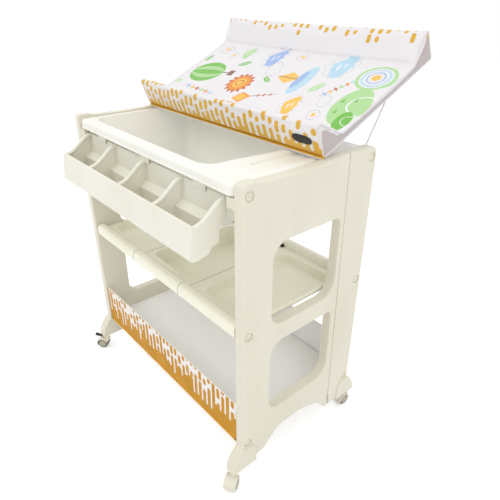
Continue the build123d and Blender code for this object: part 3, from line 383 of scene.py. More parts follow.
@dataclass(frozen=True)
class DripPrint:
    """A printed pattern of rounded upright dashes that melt into a solid border below."""

    pitch: float
    dash: float
    cell: float
    border: float
    seed: float
    full_below: float
    none_above: float
    edge: float = 0.4 * MM
    half_least: float = 0.05
    half_spread: float = 0.24
    stem_least: float = 0.6
    stem_spread: float = 1.3
    gap_least: float = 0.35

    def ink(self, bench: ShaderBench, along: object, up: object) -> Socket:
        """Works out where the ink lies.

        Args:
            bench: The material being made.
            along: Distance along the printed edge.
            up: Height above the edge.

        Returns:
            The ink's strength from 0 to 1.
        """
        radius = self.dash / 2
        column = bench.maths("FLOOR", bench.maths("DIVIDE", along, self.pitch))
        side = self.offset(bench, along, column)
        luck = bench.chance(column, 0.0, self.seed)
        lift = bench.maths("MULTIPLY", luck, self.cell * 3)
        steps = bench.maths("DIVIDE", bench.maths("ADD", up, lift), self.cell)
        row = bench.maths("FLOOR", steps)
        local = bench.maths("SUBTRACT", bench.maths("FRACT", steps), 0.5)
        local = bench.maths("ABSOLUTE", bench.maths("MULTIPLY", local, self.cell))
        size = bench.chance(column, row, self.seed + 5)
        half = bench.maths(
            "MULTIPLY_ADD", size, self.cell * self.half_spread, self.cell * self.half_least,
        )
        dash = self.inside(bench, side, bench.past(local, half), radius)
        middle = bench.maths("MULTIPLY", bench.maths("ADD", row, 0.5), self.cell)
        middle = bench.maths("SUBTRACT", middle, lift)
        wanted = bench.fade(middle, self.full_below, self.none_above, 1.0, 0.0)
        kept = bench.maths("LESS_THAN", bench.chance(column, row, self.seed + 9), wanted)
        dashes = bench.maths("MULTIPLY", dash, kept)
        top = bench.maths(
            "MULTIPLY_ADD", luck, self.border * self.stem_spread, self.border * self.stem_least,
        )
        stem = self.inside(bench, side, bench.past(up, top), radius)
        upper = bench.maths("MAXIMUM", dashes, stem)
        return bench.maths("MAXIMUM", upper, self.base(bench, along, up), clamp=True)

    def offset(self, bench: ShaderBench, along: object, column: object) -> Socket:
        """Returns the distance sideways from the column's middle."""
        middle = bench.maths("MULTIPLY", bench.maths("ADD", column, 0.5), self.pitch)
        return bench.maths("SUBTRACT", along, middle)

    def inside(self, bench: ShaderBench, side: object, over: object, radius: float) -> Socket:
        """Returns 1 inside a round-ended stroke of that radius, with a thin soft edge."""
        away = bench.vector("LENGTH", bench.joined(side, over))
        return bench.fade(away, radius - self.edge, radius + self.edge, 1.0, 0.0)

    def base(self, bench: ShaderBench, along: object, up: object) -> Socket:
        """Works out the solid border, scalloped by the gaps that run down between dashes.

        Args:
            bench: The material being made.
            along: Distance along the printed edge.
            up: Height above the edge.

        Returns:
            The border's strength from 0 to 1.
        """
        radius = (self.pitch - self.dash) / 2
        shifted = bench.maths("SUBTRACT", along, self.pitch / 2)
        gap = bench.maths("FLOOR", bench.maths("DIVIDE", shifted, self.pitch))
        side = self.offset(bench, shifted, gap)
        luck = bench.chance(gap, 3.0, self.seed)
        depth = bench.maths("MULTIPLY_ADD", luck, self.border, self.border * self.gap_least)
        clear = self.inside(bench, side, bench.past(depth, up), radius)
        low = bench.maths("LESS_THAN", up, bench.maths("ADD", depth, radius))
        return bench.maths("MULTIPLY", bench.maths("SUBTRACT", 1.0, clear), low)


class Shape(Enum):
    """The outlines that the pad's printed motifs are made of."""

    BLOB = "blob"
    FLOWER = "flower"
    RING = "ring"
    PUFF_LINE = "puff_line"
    DIAMOND = "diamond"
    BAR = "bar"


class Ink(Enum):
    """The print's ink colours."""

    LEAF = linear(112, 190, 62)
    MINT = linear(176, 220, 150)
    SUN = linear(246, 196, 76)
    AMBER = linear(238, 150, 44)
    CLAY = linear(196, 92, 48)
    BARK = linear(132, 92, 76)
    SKY = linear(158, 186, 234)
    WATER = linear(184, 220, 238)
    PAPER = linear(248, 246, 250)
    GREY = linear(170, 172, 190)


@dataclass(frozen=True)
class Motif:
    """One printed outline: where it lies, its half sizes and turn, and its ink if it is set."""

    shape: Shape
    ink: Ink | None
    x: float
    y: float
    half_x: float
    half_y: float
    turn: float = 0.0
    lobes: int = 8
    wave: float = 0.2

    def placed(self, x: float, y: float, size: float, turn: float, ink: Ink) -> "Motif":
        """Moves, scales and turns a motif of unit size into its place on the mat.

        Args:
            x: Its drawing's middle along the mat.
            y: Its drawing's middle across the mat.
            size: Its drawing's size.
            turn: Its drawing's turn in degrees.
            ink: The ink for a motif that has none of its own.

        Returns:
            The motif in its place, in millimetres.
        """
        along, across = math.cos(math.radians(turn)) * size, math.sin(math.radians(turn)) * size
        return replace(
            self, ink=self.ink or ink, turn=self.turn + turn,
            x=x + self.x * along - self.y * across, y=y + self.x * across + self.y * along,
            half_x=self.half_x * size, half_y=self.half_y * size,
        )

    def cover(self, bench: ShaderBench, where: object) -> Socket:
        """Works out where the motif's ink lies.

        Args:
            bench: The material being made.
            where: The point on the mat, in millimetres.

        Returns:
            The ink's strength from 0 to 1.
        """
        moved = bench.vector("SUBTRACT", where, (self.x, self.y, 0.0))
        if self.turn:
            inputs = {"Vector": moved, "Angle": -math.radians(self.turn)}
            moved = bench.node("VectorRotate", inputs, rotation_type="Z_AXIS").outputs[0]
        away = self.distance(bench, bench.vector("DIVIDE", moved, (self.half_x, self.half_y, 1.0)))
        edge = 0.5 / min(self.half_x, self.half_y)
        return bench.fade(away, 1.0 - edge, 1.0 + edge, 1.0, 0.0)

    def distance(self, bench: ShaderBench, scaled: Socket) -> Socket:
        """Works out a distance that is 1 on the motif's outline.

        Args:
            bench: The material being made.
            scaled: The point, with the motif's middle at 0 and its half sizes as 1.

        Returns:
            The distance.
        """
        if self.shape in (Shape.BAR, Shape.DIAMOND):
            x, y = self.flat_parts(bench, bench.vector("ABSOLUTE", scaled))
            return bench.maths("ADD" if self.shape is Shape.DIAMOND else "MAXIMUM", x, y)
        away = bench.vector("LENGTH", scaled)
        if self.shape is Shape.BLOB:
            return away
        if self.shape is Shape.RING:
            return self.line_at(bench, away, 1.0)
        x, y = self.flat_parts(bench, scaled)
        angle = bench.maths("ARCTAN2", y, x)
        if self.shape is Shape.PUFF_LINE:
            bow = bench.maths("SINE", bench.maths("MULTIPLY", angle, self.lobes / 2))
            bow = bench.maths("ABSOLUTE", bow)
            return self.line_at(bench, away, bench.maths("MULTIPLY_ADD", bow, 0.2, 0.86))
        wave = bench.maths("COSINE", bench.maths("MULTIPLY", angle, float(self.lobes)))
        reach = bench.maths("MULTIPLY_ADD", wave, self.wave, 1.0 - self.wave)
        return bench.maths("DIVIDE", away, reach)

    def line_at(self, bench: ShaderBench, away: Socket, reach: object) -> Socket:
        """Returns a distance that is 1 on both edges of a line at that reach."""
        gap = bench.maths("ABSOLUTE", bench.maths("SUBTRACT", away, reach))
        return bench.maths("DIVIDE", gap, self.wave)

    def flat_parts(self, bench: ShaderBench, value: object) -> tuple[Socket, Socket]:
        """Returns a vector's parts along and across the mat."""
        along, across = (1.0, 0.0, 0.0), (0.0, 1.0, 0.0)
        return bench.vector("DOT_PRODUCT", value, along), bench.vector("DOT_PRODUCT", value, across)


def flags(length: float) -> tuple[Motif, ...]:
    """Draws a string of little flags for that length in millimetres, scaled to a length of 1.

    Args:
        length: The string's length when it is placed.

    Returns:
        The motifs, lowest layer first.
    """
    inks = (Ink.SKY, Ink.SUN, Ink.CLAY, Ink.MINT, Ink.AMBER, Ink.WATER)
    made = [Motif(Shape.BAR, Ink.BARK, 0.0, 0.0, 0.5, 0.9 / length)]
    for step, ink in enumerate(inks):
        x = (step + 0.5) / len(inks) - 0.5
        made.append(Motif(Shape.DIAMOND, ink, x, 0.0, 0.05, 11.0 / length))
    return tuple(made)


class Drawing(Enum):
    """The drawings on the mat, of unit size and lowest layer first."""

    BALLOON = (
        Motif(Shape.BAR, Ink.BARK, 1.25, 0.0, 0.32, 0.035),
        Motif(Shape.BAR, Ink.BARK, 1.62, 0.0, 0.17, 0.2),
        Motif(Shape.BLOB, Ink.LEAF, 0.0, 0.0, 1.08, 0.82),
        Motif(Shape.BLOB, Ink.MINT, 0.0, 0.0, 1.06, 0.5),
        Motif(Shape.BLOB, Ink.LEAF, 0.0, 0.0, 1.05, 0.2),
    )
    SUNFLOWER = (
        Motif(Shape.FLOWER, Ink.CLAY, 0.0, 0.0, 1.0, 1.0, 0.0, 14, 0.12),
        Motif(Shape.FLOWER, Ink.AMBER, 0.0, 0.0, 0.84, 0.84, 12.0, 14, 0.1),
        Motif(Shape.BLOB, Ink.SUN, 0.0, 0.0, 0.46, 0.46),
        Motif(Shape.RING, Ink.CLAY, 0.0, 0.0, 0.26, 0.26, 0.0, 8, 0.14),
    )
    BOAT = (
        Motif(Shape.BLOB, Ink.WATER, 1.0, 0.0, 0.5, 1.5),
        Motif(Shape.DIAMOND, Ink.SUN, -0.2, 0.0, 0.9, 0.62, 8.0),
        Motif(Shape.BAR, Ink.BARK, -0.1, 0.0, 0.95, 0.035),
        Motif(Shape.BLOB, Ink.SKY, 0.72, 0.0, 0.26, 0.95),
    )
    LEAF = (
        Motif(Shape.BLOB, None, 0.0, 0.0, 1.0, 0.42),
        Motif(Shape.BAR, Ink.PAPER, 0.0, 0.0, 0.8, 0.05),
    )
    KITE = (
        Motif(Shape.BAR, Ink.BARK, 2.1, 0.0, 1.2, 0.035),
        Motif(Shape.DIAMOND, Ink.AMBER, 0.0, 0.0, 1.0, 0.68),
        Motif(Shape.DIAMOND, Ink.SUN, -0.06, 0.0, 0.72, 0.5),
        *(Motif(Shape.DIAMOND, Ink.CLAY, step, 0.0, 0.1, 0.26) for step in (1.7, 2.3, 2.9)),
    )
    RAINBOW = (
        Motif(Shape.RING, Ink.MINT, 0.0, 0.0, 1.0, 1.0, 0.0, 8, 0.09),
        Motif(Shape.RING, Ink.WATER, 0.0, 0.0, 0.74, 0.74, 0.0, 8, 0.09),
        Motif(Shape.RING, Ink.SKY, 0.0, 0.0, 0.48, 0.48, 0.0, 8, 0.09),
        Motif(Shape.BLOB, Ink.SUN, 0.0, 0.0, 0.26, 0.26),
    )
    CLOUD = (
        Motif(Shape.PUFF_LINE, Ink.GREY, -0.14, 0.1, 0.72, 1.02, 0.0, 10, 0.013),
        Motif(Shape.BLOB, None, 0.0, -0.5, 0.36, 0.42),
        Motif(Shape.BLOB, None, 0.0, 0.52, 0.34, 0.44),
        Motif(Shape.FLOWER, None, -0.1, 0.0, 0.56, 0.66, 18.0, 7, 0.07),
        Motif(Shape.BLOB, Ink.PAPER, -0.2, -0.1, 0.05, 0.26, 8.0),
        Motif(Shape.BLOB, Ink.PAPER, 0.04, 0.12, 0.045, 0.22, 8.0),
    )
    HILL = (
        Motif(Shape.BLOB, None, 0.0, 0.0, 0.62, 1.0),
        Motif(Shape.RING, Ink.PAPER, 0.5, 0.1, 0.62, 0.5, 0.0, 8, 0.05),
        *(Motif(Shape.FLOWER, Ink.LEAF, x, y, 0.13, 0.09, 90.0, 3, 0.35)
          for x, y in ((-0.3, -0.42), (0.02, 0.3), (-0.42, 0.16))),
    )
    DAISY = (
        Motif(Shape.FLOWER, Ink.SUN, 0.0, 0.0, 1.0, 1.0, 0.0, 5, 0.3),
        Motif(Shape.PUFF_LINE, Ink.GREY, 0.0, 0.0, 1.8, 1.8, 0.0, 8, 0.04),
    )
    PUFF = (Motif(Shape.PUFF_LINE, Ink.GREY, 0.0, 0.0, 0.7, 1.1, 20.0, 8, 0.028),)
    LONG_FLAGS = flags(150.0)
    SHORT_FLAGS = flags(96.0)


def mat_drawing() -> list[Motif]:
    """Lays out the whole picture on the mat, in millimetres from the pad's front middle.

    Returns:
        The motifs, lowest layer first.
    """
    layout = (
        (Drawing.HILL, 334.0, 168.0, 74.0, 0.0, Ink.MINT),
        (Drawing.HILL, 352.0, 112.0, 34.0, 0.0, Ink.LEAF),
        (Drawing.CLOUD, 196.0, 318.0, 62.0, 0.0, Ink.WATER),
        (Drawing.CLOUD, -64.0, 314.0, 52.0, 0.0, Ink.SKY),
        (Drawing.CLOUD, 172.0, 124.0, 42.0, 0.0, Ink.SUN),
        (Drawing.CLOUD, -196.0, 318.0, 34.0, 0.0, Ink.MINT),
        (Drawing.LONG_FLAGS, -216.0, 104.0, 150.0, -4.0, Ink.SKY),
        (Drawing.SHORT_FLAGS, 252.0, 226.0, 96.0, 58.0, Ink.SKY),
        (Drawing.BALLOON, -272.0, 190.0, 66.0, 8.0, Ink.LEAF),
        (Drawing.SUNFLOWER, -84.0, 168.0, 50.0, 0.0, Ink.CLAY),
        (Drawing.KITE, -20.0, 112.0, 34.0, 20.0, Ink.AMBER),
        (Drawing.BOAT, 74.0, 232.0, 46.0, 0.0, Ink.SKY),
        (Drawing.RAINBOW, 322.0, 290.0, 50.0, 0.0, Ink.MINT),
        (Drawing.LEAF, -158.0, 262.0, 24.0, 35.0, Ink.LEAF),
        (Drawing.LEAF, -2.0, 206.0, 20.0, -30.0, Ink.LEAF),
        (Drawing.LEAF, 188.0, 212.0, 26.0, 60.0, Ink.MINT),
        (Drawing.LEAF, -346.0, 262.0, 20.0, 80.0, Ink.LEAF),
        (Drawing.LEAF, -352.0, 120.0, 18.0, 20.0, Ink.MINT),
        (Drawing.DAISY, -312.0, 322.0, 13.0, 0.0, Ink.SUN),
        (Drawing.DAISY, -250.0, 296.0, 9.0, 0.0, Ink.SUN),
        (Drawing.DAISY, 26.0, 338.0, 11.0, 0.0, Ink.SUN),
        (Drawing.DAISY, 262.0, 110.0, 10.0, 0.0, Ink.SUN),
        (Drawing.PUFF, -356.0, 190.0, 22.0, 0.0, Ink.GREY),
        (Drawing.PUFF, -20.0, 258.0, 34.0, 0.0, Ink.GREY),
        (Drawing.PUFF, 252.0, 166.0, 24.0, 0.0, Ink.GREY),
    )
    return [motif.placed(*place) for drawing, *place in layout for motif in drawing.value]


@dataclass(frozen=True)
class PadVinyl(Finish):
    """The pad's wipe-clean cover: a pale skin with painted shade on its end faces, dashes on both
    outer faces, drawings on the mat.
    """

    shade: Colour
    drips: Colour
    # The ends colour is painted shade for the cover's end faces.
    ends: Colour
    front: DripPrint
    rear: DripPrint
    depth: float
    crest: float
    half_length: float
    mat_rise: float = 12.0 * MM
    mat_span: tuple[float, float] = (66.0 * MM, 366.0 * MM)
    gate: float = 2.0 * MM
    print_foot: float = 6.0 * MM
    over_crest: float = 1.3
    wobble: float = 3.4
    rubbed: float = 0.12
    near_front: tuple[float, float] = (45.0 * MM, 50.0 * MM)
    near_rear: tuple[float, float] = (60.0 * MM, 64.0 * MM)

    def coat(self, bench: ShaderBench) -> None:
        """Prints the cover and gives it a fine leather grain, soft creases and low gloss.

        Args:
            bench: The material being made.
        """
        where = bench.place()
        x, u, w = bench.split(where)
        colour = self.dripped(bench, self.drawn(bench, where, u, w), x, u, w)
        mottle = bench.fade(bench.noise(where, Grain.VINYL_MOTTLE), 0.3, 0.8, 0.0, 0.5)
        rubbed = bench.blend(self.rubbed, colour, self.shade)
        creases = bench.noise(bench.vector("MULTIPLY", where, (0.6, 1.5, 1.5)), Grain.VINYL_CREASE)
        leather = bench.noise(where, Grain.VINYL_LEATHER)
        bench.paint(
            Base_Color=bench.blend(mottle, colour, rubbed),
            Normal=bench.bump(leather, 0.2, 0.3 * MM, bench.bump(creases, 0.16, 3.0 * MM)),
            Roughness=bench.drift(where, Grain.VINYL_WEAR, 0.36, 0.5),
            Specular_IOR_Level=0.45, Sheen_Weight=0.06,
        )

    def drawn(self, bench: ShaderBench, where: Socket, u: Socket, w: Socket) -> object:
        """Prints the drawing on the mat between the bolsters.

        Args:
            bench: The material being made.
            where: The point on the cover.
            u: The distance back from the front corner.
            w: The height above the board's underside.

        Returns:
            The colour.
        """
        wobble = bench.noise(where, Grain.VINYL_WOBBLE, "Color")
        shake = bench.vector("SUBTRACT", wobble, (0.5, 0.5, 0.5))
        shake = bench.vector("MULTIPLY", shake, (self.wobble, self.wobble, 0.0))
        flat = bench.vector("MULTIPLY", where, (1 / MM, 1 / MM, 0.0))
        spot = bench.vector("ADD", flat, shake)
        near, far = self.mat_span
        on_mat = bench.chain(
            "MULTIPLY", bench.fade(w, self.mat_rise, self.mat_rise + self.gate),
            bench.fade(u, near, near + self.gate), bench.fade(u, far, far + self.gate, 1.0, 0.0),
        )
        crayon = bench.fade(bench.noise(where, Grain.VINYL_CRAYON), 0.25, 0.5, 0.82, 1.0)
        strength = bench.maths("MULTIPLY", on_mat, crayon)
        colour: object = self.colour
        for motif in mat_drawing():
            share = bench.maths("MULTIPLY", motif.cover(bench, spot), strength)
            colour = bench.blend(share, colour, motif.ink.value)
        return colour

    def dripped(self, bench: ShaderBench, colour: object, x: Socket, u: Socket,
                w: Socket) -> Socket:
        """Paints shade on the end faces, and prints the dashes on the outer faces and over both
        crests.

        Args:
            bench: The material being made.
            colour: The colour so far.
            x: The distance along the pad.
            u: The distance back from the front corner.
            w: The height above the board's underside.

        Returns:
            The colour.
        """
        end = self.half_length - 3.0 * MM
        sides = bench.fade(bench.maths("ABSOLUTE", x), end, end + 1.0 * MM, 1.0, 0.0)
        # Painted shade: the end faces take the darker ends colour, for the shade they fall in.
        colour = bench.blend(sides, self.ends, colour)
        w = bench.maths("SUBTRACT", w, self.print_foot)
        back = bench.maths("SUBTRACT", self.depth, u)
        for print_, away, span in (
            (self.front, u, self.near_front), (self.rear, back, self.near_rear),
        ):
            over = bench.maths("MULTIPLY", bench.past(away, self.crest), self.over_crest)
            climb = bench.chain("ADD", w, away, over)
            near = bench.fade(away, *span, 1.0, 0.0)
            ink = bench.chain("MULTIPLY", print_.ink(bench, x, climb), near, sides)
            colour = bench.blend(ink, colour, self.drips)
        return colour


@dataclass(frozen=True)
class PrintedCloth(PlainCloth):
    """The basket's outer cloth: dashes that melt into a solid border along its foot."""

    drips: Colour = linear(213, 150, 0)
    print_: DripPrint = DripPrint(0.0212, 0.0142, 0.046, 0.070, 3.0, 0.11, 0.32)
    foot: float = 0.0

    def coat(self, bench: ShaderBench) -> None:
        """Prints the cloth.

        Args:
            bench: The material being made.
        """
        where = bench.place()
        x, _, z = bench.split(where)
        ink = self.print_.ink(bench, x, bench.maths("SUBTRACT", z, self.foot))
        patchy = bench.fade(bench.noise(where, Grain.CLOTH_INK), 0.3, 0.7)
        tone = bench.blend(patchy, self.drips, dimmed(self.drips, 0.86))
        self.surface(bench, bench.blend(ink, self.colour, tone), 0.03)


@dataclass(frozen=True)
class BoardCover(PlainCloth):
    """The board's wrap, with the front print carried down over its front edge."""

    drips: Colour = WHITE
    front: Point = (0.0, 0.0, 0.0)
    tilt: float = 0.0
    edge: float = 6.5 * MM

    def coat(self, bench: ShaderBench) -> None:
        """Lays the wrap on.

        Args:
            bench: The material being made.
        """
        away = bench.vector("SUBTRACT", bench.place(), self.front)
        back = bench.vector("DOT_PRODUCT", away, (0.0, math.cos(self.tilt), math.sin(self.tilt)))
        printed = bench.fade(back, self.edge, self.edge * 1.2, 1.0, 0.0)
        self.surface(bench, bench.blend(printed, self.colour, self.drips), 0.05)


@dataclass(frozen=True)
class CasterWheel(Finish):
    """A moulded caster wheel: a dark tread, a pale cover disc and turned rings on its face."""

    tread: Colour
    middle: Point
    axle: Point
    radius: float
    tyre: tuple[float, float] = (0.74, 0.77)
    groove: float = 0.44
    rings: float = 90.0

    def coat(self, bench: ShaderBench) -> None:
        """Colours the wheel by the distance from its axle.

        Args:
            bench: The material being made.
        """
        where = bench.place()
        away = bench.vector("SUBTRACT", where, self.middle)
        parts = (bench.vector("LENGTH", away), bench.vector("DOT_PRODUCT", away, self.axle))
        reach, side = (bench.maths("MULTIPLY", part, part) for part in parts)
        from_axle = bench.maths("SQRT", bench.past(reach, side))
        from_axle = bench.maths("DIVIDE", from_axle, self.radius)
        dust = bench.fade(bench.noise(where, Grain.WHEEL_DUST), 0.35, 0.8, 0.0, 0.4)
        dark = bench.blend(dust, self.tread, dimmed(self.tread, 1.7))
        gap = bench.maths("ABSOLUTE", bench.maths("SUBTRACT", from_axle, self.groove))
        disc = bench.blend(bench.fade(gap, 0.02, 0.05, 0.55, 0.0), self.colour, self.tread)
        turned = bench.maths("SINE", bench.maths("MULTIPLY", from_axle, self.rings))
        normal = bench.bump(turned, 0.12, 0.4 * MM)
        bench.paint(
            Base_Color=bench.blend(bench.fade(from_axle, *self.tyre), disc, dark),
            Normal=bench.bump(bench.noise(where, Grain.SPARK), 0.25, 0.4 * MM, normal),
            Roughness=bench.drift(where, Grain.WHEEL_WEAR, 0.42, 0.6), Specular_IOR_Level=0.35,
        )


IVORY = MouldedPlastic("ivory_plastic", linear(235, 231, 215), linear(227, 222, 204))
# The tub and tray plastics are lighter than the ivory: partly the tub's whiter moulding, partly
# painted light that brightens the shaded basin and tray pockets.
TUB_IVORY = MouldedPlastic("tub_plastic", linear(252, 252, 245), linear(248, 247, 238), 0.36, 0.16)
TRAY_IVORY = replace(TUB_IVORY, name="tray_plastic", colour=linear(241, 239, 227),
                     shade=linear(235, 232, 217))
BLACK = MouldedPlastic("black_plastic", linear(34, 34, 34), linear(44, 43, 42), 0.4, 0.2, 0.03)
RIVET = MouldedPlastic("rivet_plastic", linear(84, 66, 44), linear(70, 54, 36), 0.4, 0.2, 0.03)
RUBBER = MouldedPlastic("plug_rubber", linear(232, 230, 220), linear(216, 213, 202), 0.62, 0.3, 0.1)
TUBE_COAT = CoatedSteel("tube_coat", linear(240, 237, 226))
WIRE_COAT = CoatedSteel("wire_coat", linear(232, 230, 224), 0.3)
ZINC = PlatedSteel("zinc_plate", (0.6, 0.6, 0.58))
# The lining's near-white is raised further: partly its own pale cloth, partly painted light that
# brightens the shaded basket floor.
LINING = PlainCloth("basket_lining", linear(251, 250, 250), linear(243, 241, 243), 1.0 * MM, 0.18)
HEM_CLOTH = PlainCloth("hem_binding", linear(244, 238, 226), linear(230, 220, 200), 0.8 * MM, 0.3)
PIPING = PlainCloth("basket_piping", linear(244, 186, 54), linear(226, 160, 36), 0.8 * MM, 0.3)
WELT = PlainCloth("pad_welt", linear(236, 233, 236), linear(214, 210, 214), 0.8 * MM, 0.3)
TREAD = linear(88, 88, 70)
WHEEL_COVER = linear(186, 183, 163)
PRINT_ORANGE = linear(224, 173, 38)


class Rack:
    """Makes each finish once and hands it out."""

    def __init__(self) -> None:
        """Starts with no finish made."""
        self.made: dict[str, bpy.types.Material] = {}

    def of(self, finish: Finish) -> bpy.types.Material:
        """Hands out a finish's material, made on its first use.

        Args:
            finish: The finish.

        Returns:
            The material.
        """
        if finish.name not in self.made:
            self.made[finish.name] = finish.make()
        return self.made[finish.name]


def middle_of(node: str) -> Vector:
    """Returns the middle of a CAD node's box."""
    low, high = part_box(node)
    return (low + high) / 2


def turns(count: int) -> list[float]:
    """Returns that many angles, spread evenly round a full turn."""
    return [2 * math.pi * step / count for step in range(count)]


def linked(name: str, data: bpy.types.ID) -> bpy.types.Object:
    """Makes an object that holds the data, and links it to the scene.

    Args:
        name: The object's name.
        data: Its mesh, curve, lamp or camera.

    Returns:
        The object.
    """
    made = bpy.data.objects.new(name, data)
    bpy.context.scene.collection.objects.link(made)
    return made


def final_mesh(piece: bpy.types.Object) -> bpy.types.Mesh:
    """Bakes a piece's modifiers or bevel into a new mesh.

    Args:
        piece: The object.

    Returns:
        The smooth-shaded mesh.
    """
    bpy.context.view_layer.update()
    graph = bpy.context.evaluated_depsgraph_get()
    mesh = bpy.data.meshes.new_from_object(piece.evaluated_get(graph))
    mesh.shade_smooth()
    return mesh


def mesh_object(name: str, points: Sequence[Point], faces: Sequence[Face]) -> bpy.types.Object:
    """Makes a smooth-shaded mesh object.

    Args:
        name: The piece's name.
        points: Its vertices.
        faces: Its faces, as vertex numbers.

    Returns:
        The object, linked to the scene.
    """
    mesh = bpy.data.meshes.new(name)
    mesh.from_pydata(points, [], faces)
    mesh.validate()
    work = bmesh.new()
    work.from_mesh(mesh)
    bmesh.ops.recalc_face_normals(work, faces=work.faces)
    work.to_mesh(mesh)
    work.free()
    mesh.shade_smooth()
    return linked(name, mesh)


def ring_faces(rings: int, around: int, start: int = 0) -> list[Face]:
    """Joins a stack of rings of points by faces, and closes both ends.

    Args:
        rings: How many rings there are.
        around: How many points each ring has.
        start: The first point's number.

    Returns:
        The faces, as point numbers.
    """
    faces: list[Face] = []
    for first in range(start, start + (rings - 1) * around, around):
        for step in range(around):
            a, b = first + step, first + (step + 1) % around
            faces.append((a, b, b + around, a + around))
    last = start + (rings - 1) * around
    return faces + [tuple(range(first, first + around)) for first in (start, last)]


def tube_object(name: str, points: Sequence[Sequence[float]], radius: float,
                closed: bool = False) -> bpy.types.Object:
    """Makes a round bead, welt or piping along a smooth line.

    Args:
        name: The piece's name.
        points: The line's control points.
        radius: The bead's radius.
        closed: Whether the line is a loop.

    Returns:
        The bead, as a mesh.
    """
    curve = bpy.data.curves.new(name, "CURVE")
    curve.dimensions = "3D"
    line = curve.splines.new("NURBS")
    line.points.add(len(points) - 1)
    for point, place in zip(line.points, points):
        point.co = (*place, 1.0)
    line.order_u = 3
    line.use_endpoint_u = not closed
    line.use_cyclic_u = closed
    line.resolution_u = 10
    curve.bevel_depth = radius
    curve.bevel_resolution = 4
    curve.use_fill_caps = not closed
    drawn = linked(name, curve)
    mesh = final_mesh(drawn)
    bpy.data.objects.remove(drawn)
    return linked(name, mesh)


def rounded_line(corners: Sequence[Point], steps: int = 6) -> list[tuple[float, float]]:
    """Rounds the corners of a closed outline.

    Args:
        corners: Each corner's place in the plane, and its radius.
        steps: How many steps each round has.

    Returns:
        The outline's points.
    """
    places = [Vector(corner[:2]) for corner in corners]
    made = []
    for number, (here, (_, _, radius)) in enumerate(zip(places, corners)):
        before = (places[number - 1] - here).normalized()
        after = (places[(number + 1) % len(places)] - here).normalized()
        run = radius / math.tan(before.angle(after) / 2)
        start, end = here + before * run, here + after * run
        for step in range(steps + 1):
            share = step / steps
            bend = start * (1 - share) ** 2 + here * 2 * share * (1 - share) + end * share**2
            made.append(tuple(bend))
    return made


def vectors(points: bpy.types.bpy_prop_collection, kind: str) -> np.ndarray:
    """Reads one vector of each of a mesh's points.

    Args:
        points: The mesh's points.
        kind: "co" for their places or "normal".

    Returns:
        The vectors, as rows.
    """
    flat = np.empty(len(points) * 3)
    points.foreach_get(kind, flat)
    return flat.reshape(-1, 3)


@dataclass
class SubAssembly:
    """A group of pieces that is built and dressed together."""

    rack: Rack
    pieces: list[bpy.types.Object] = field(default_factory=list)

    def keep(self, piece: bpy.types.Object, finish: Finish, slot: str,
             body: str = "frame") -> bpy.types.Object:
        """Dresses a new piece and sets it on its body.

        Args:
            piece: The object.
            finish: Its finish.
            slot: The name of a material slot; not used.
            body: The CAD body that it rides on.

        Returns:
            The piece.
        """
        piece.data.materials.clear()
        piece.data.materials.append(self.rack.of(finish))
        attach(piece, body)
        self.pieces.append(piece)
        return piece

    def dress(self, finish: Finish, *nodes: str) -> None:
        """Gives CAD nodes their finish.

        Args:
            finish: The finish.
            *nodes: The nodes, or the beginnings of their names.
        """
        for node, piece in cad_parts.items():
            if node.startswith(nodes):
                for held in piece.material_slots:
                    held.material = self.rack.of(finish)
                if not piece.material_slots:
                    piece.data.materials.append(self.rack.of(finish))
                self.pieces.append(piece)

    def build(self) -> None:
        """Builds and dresses the pieces."""
        raise NotImplementedError


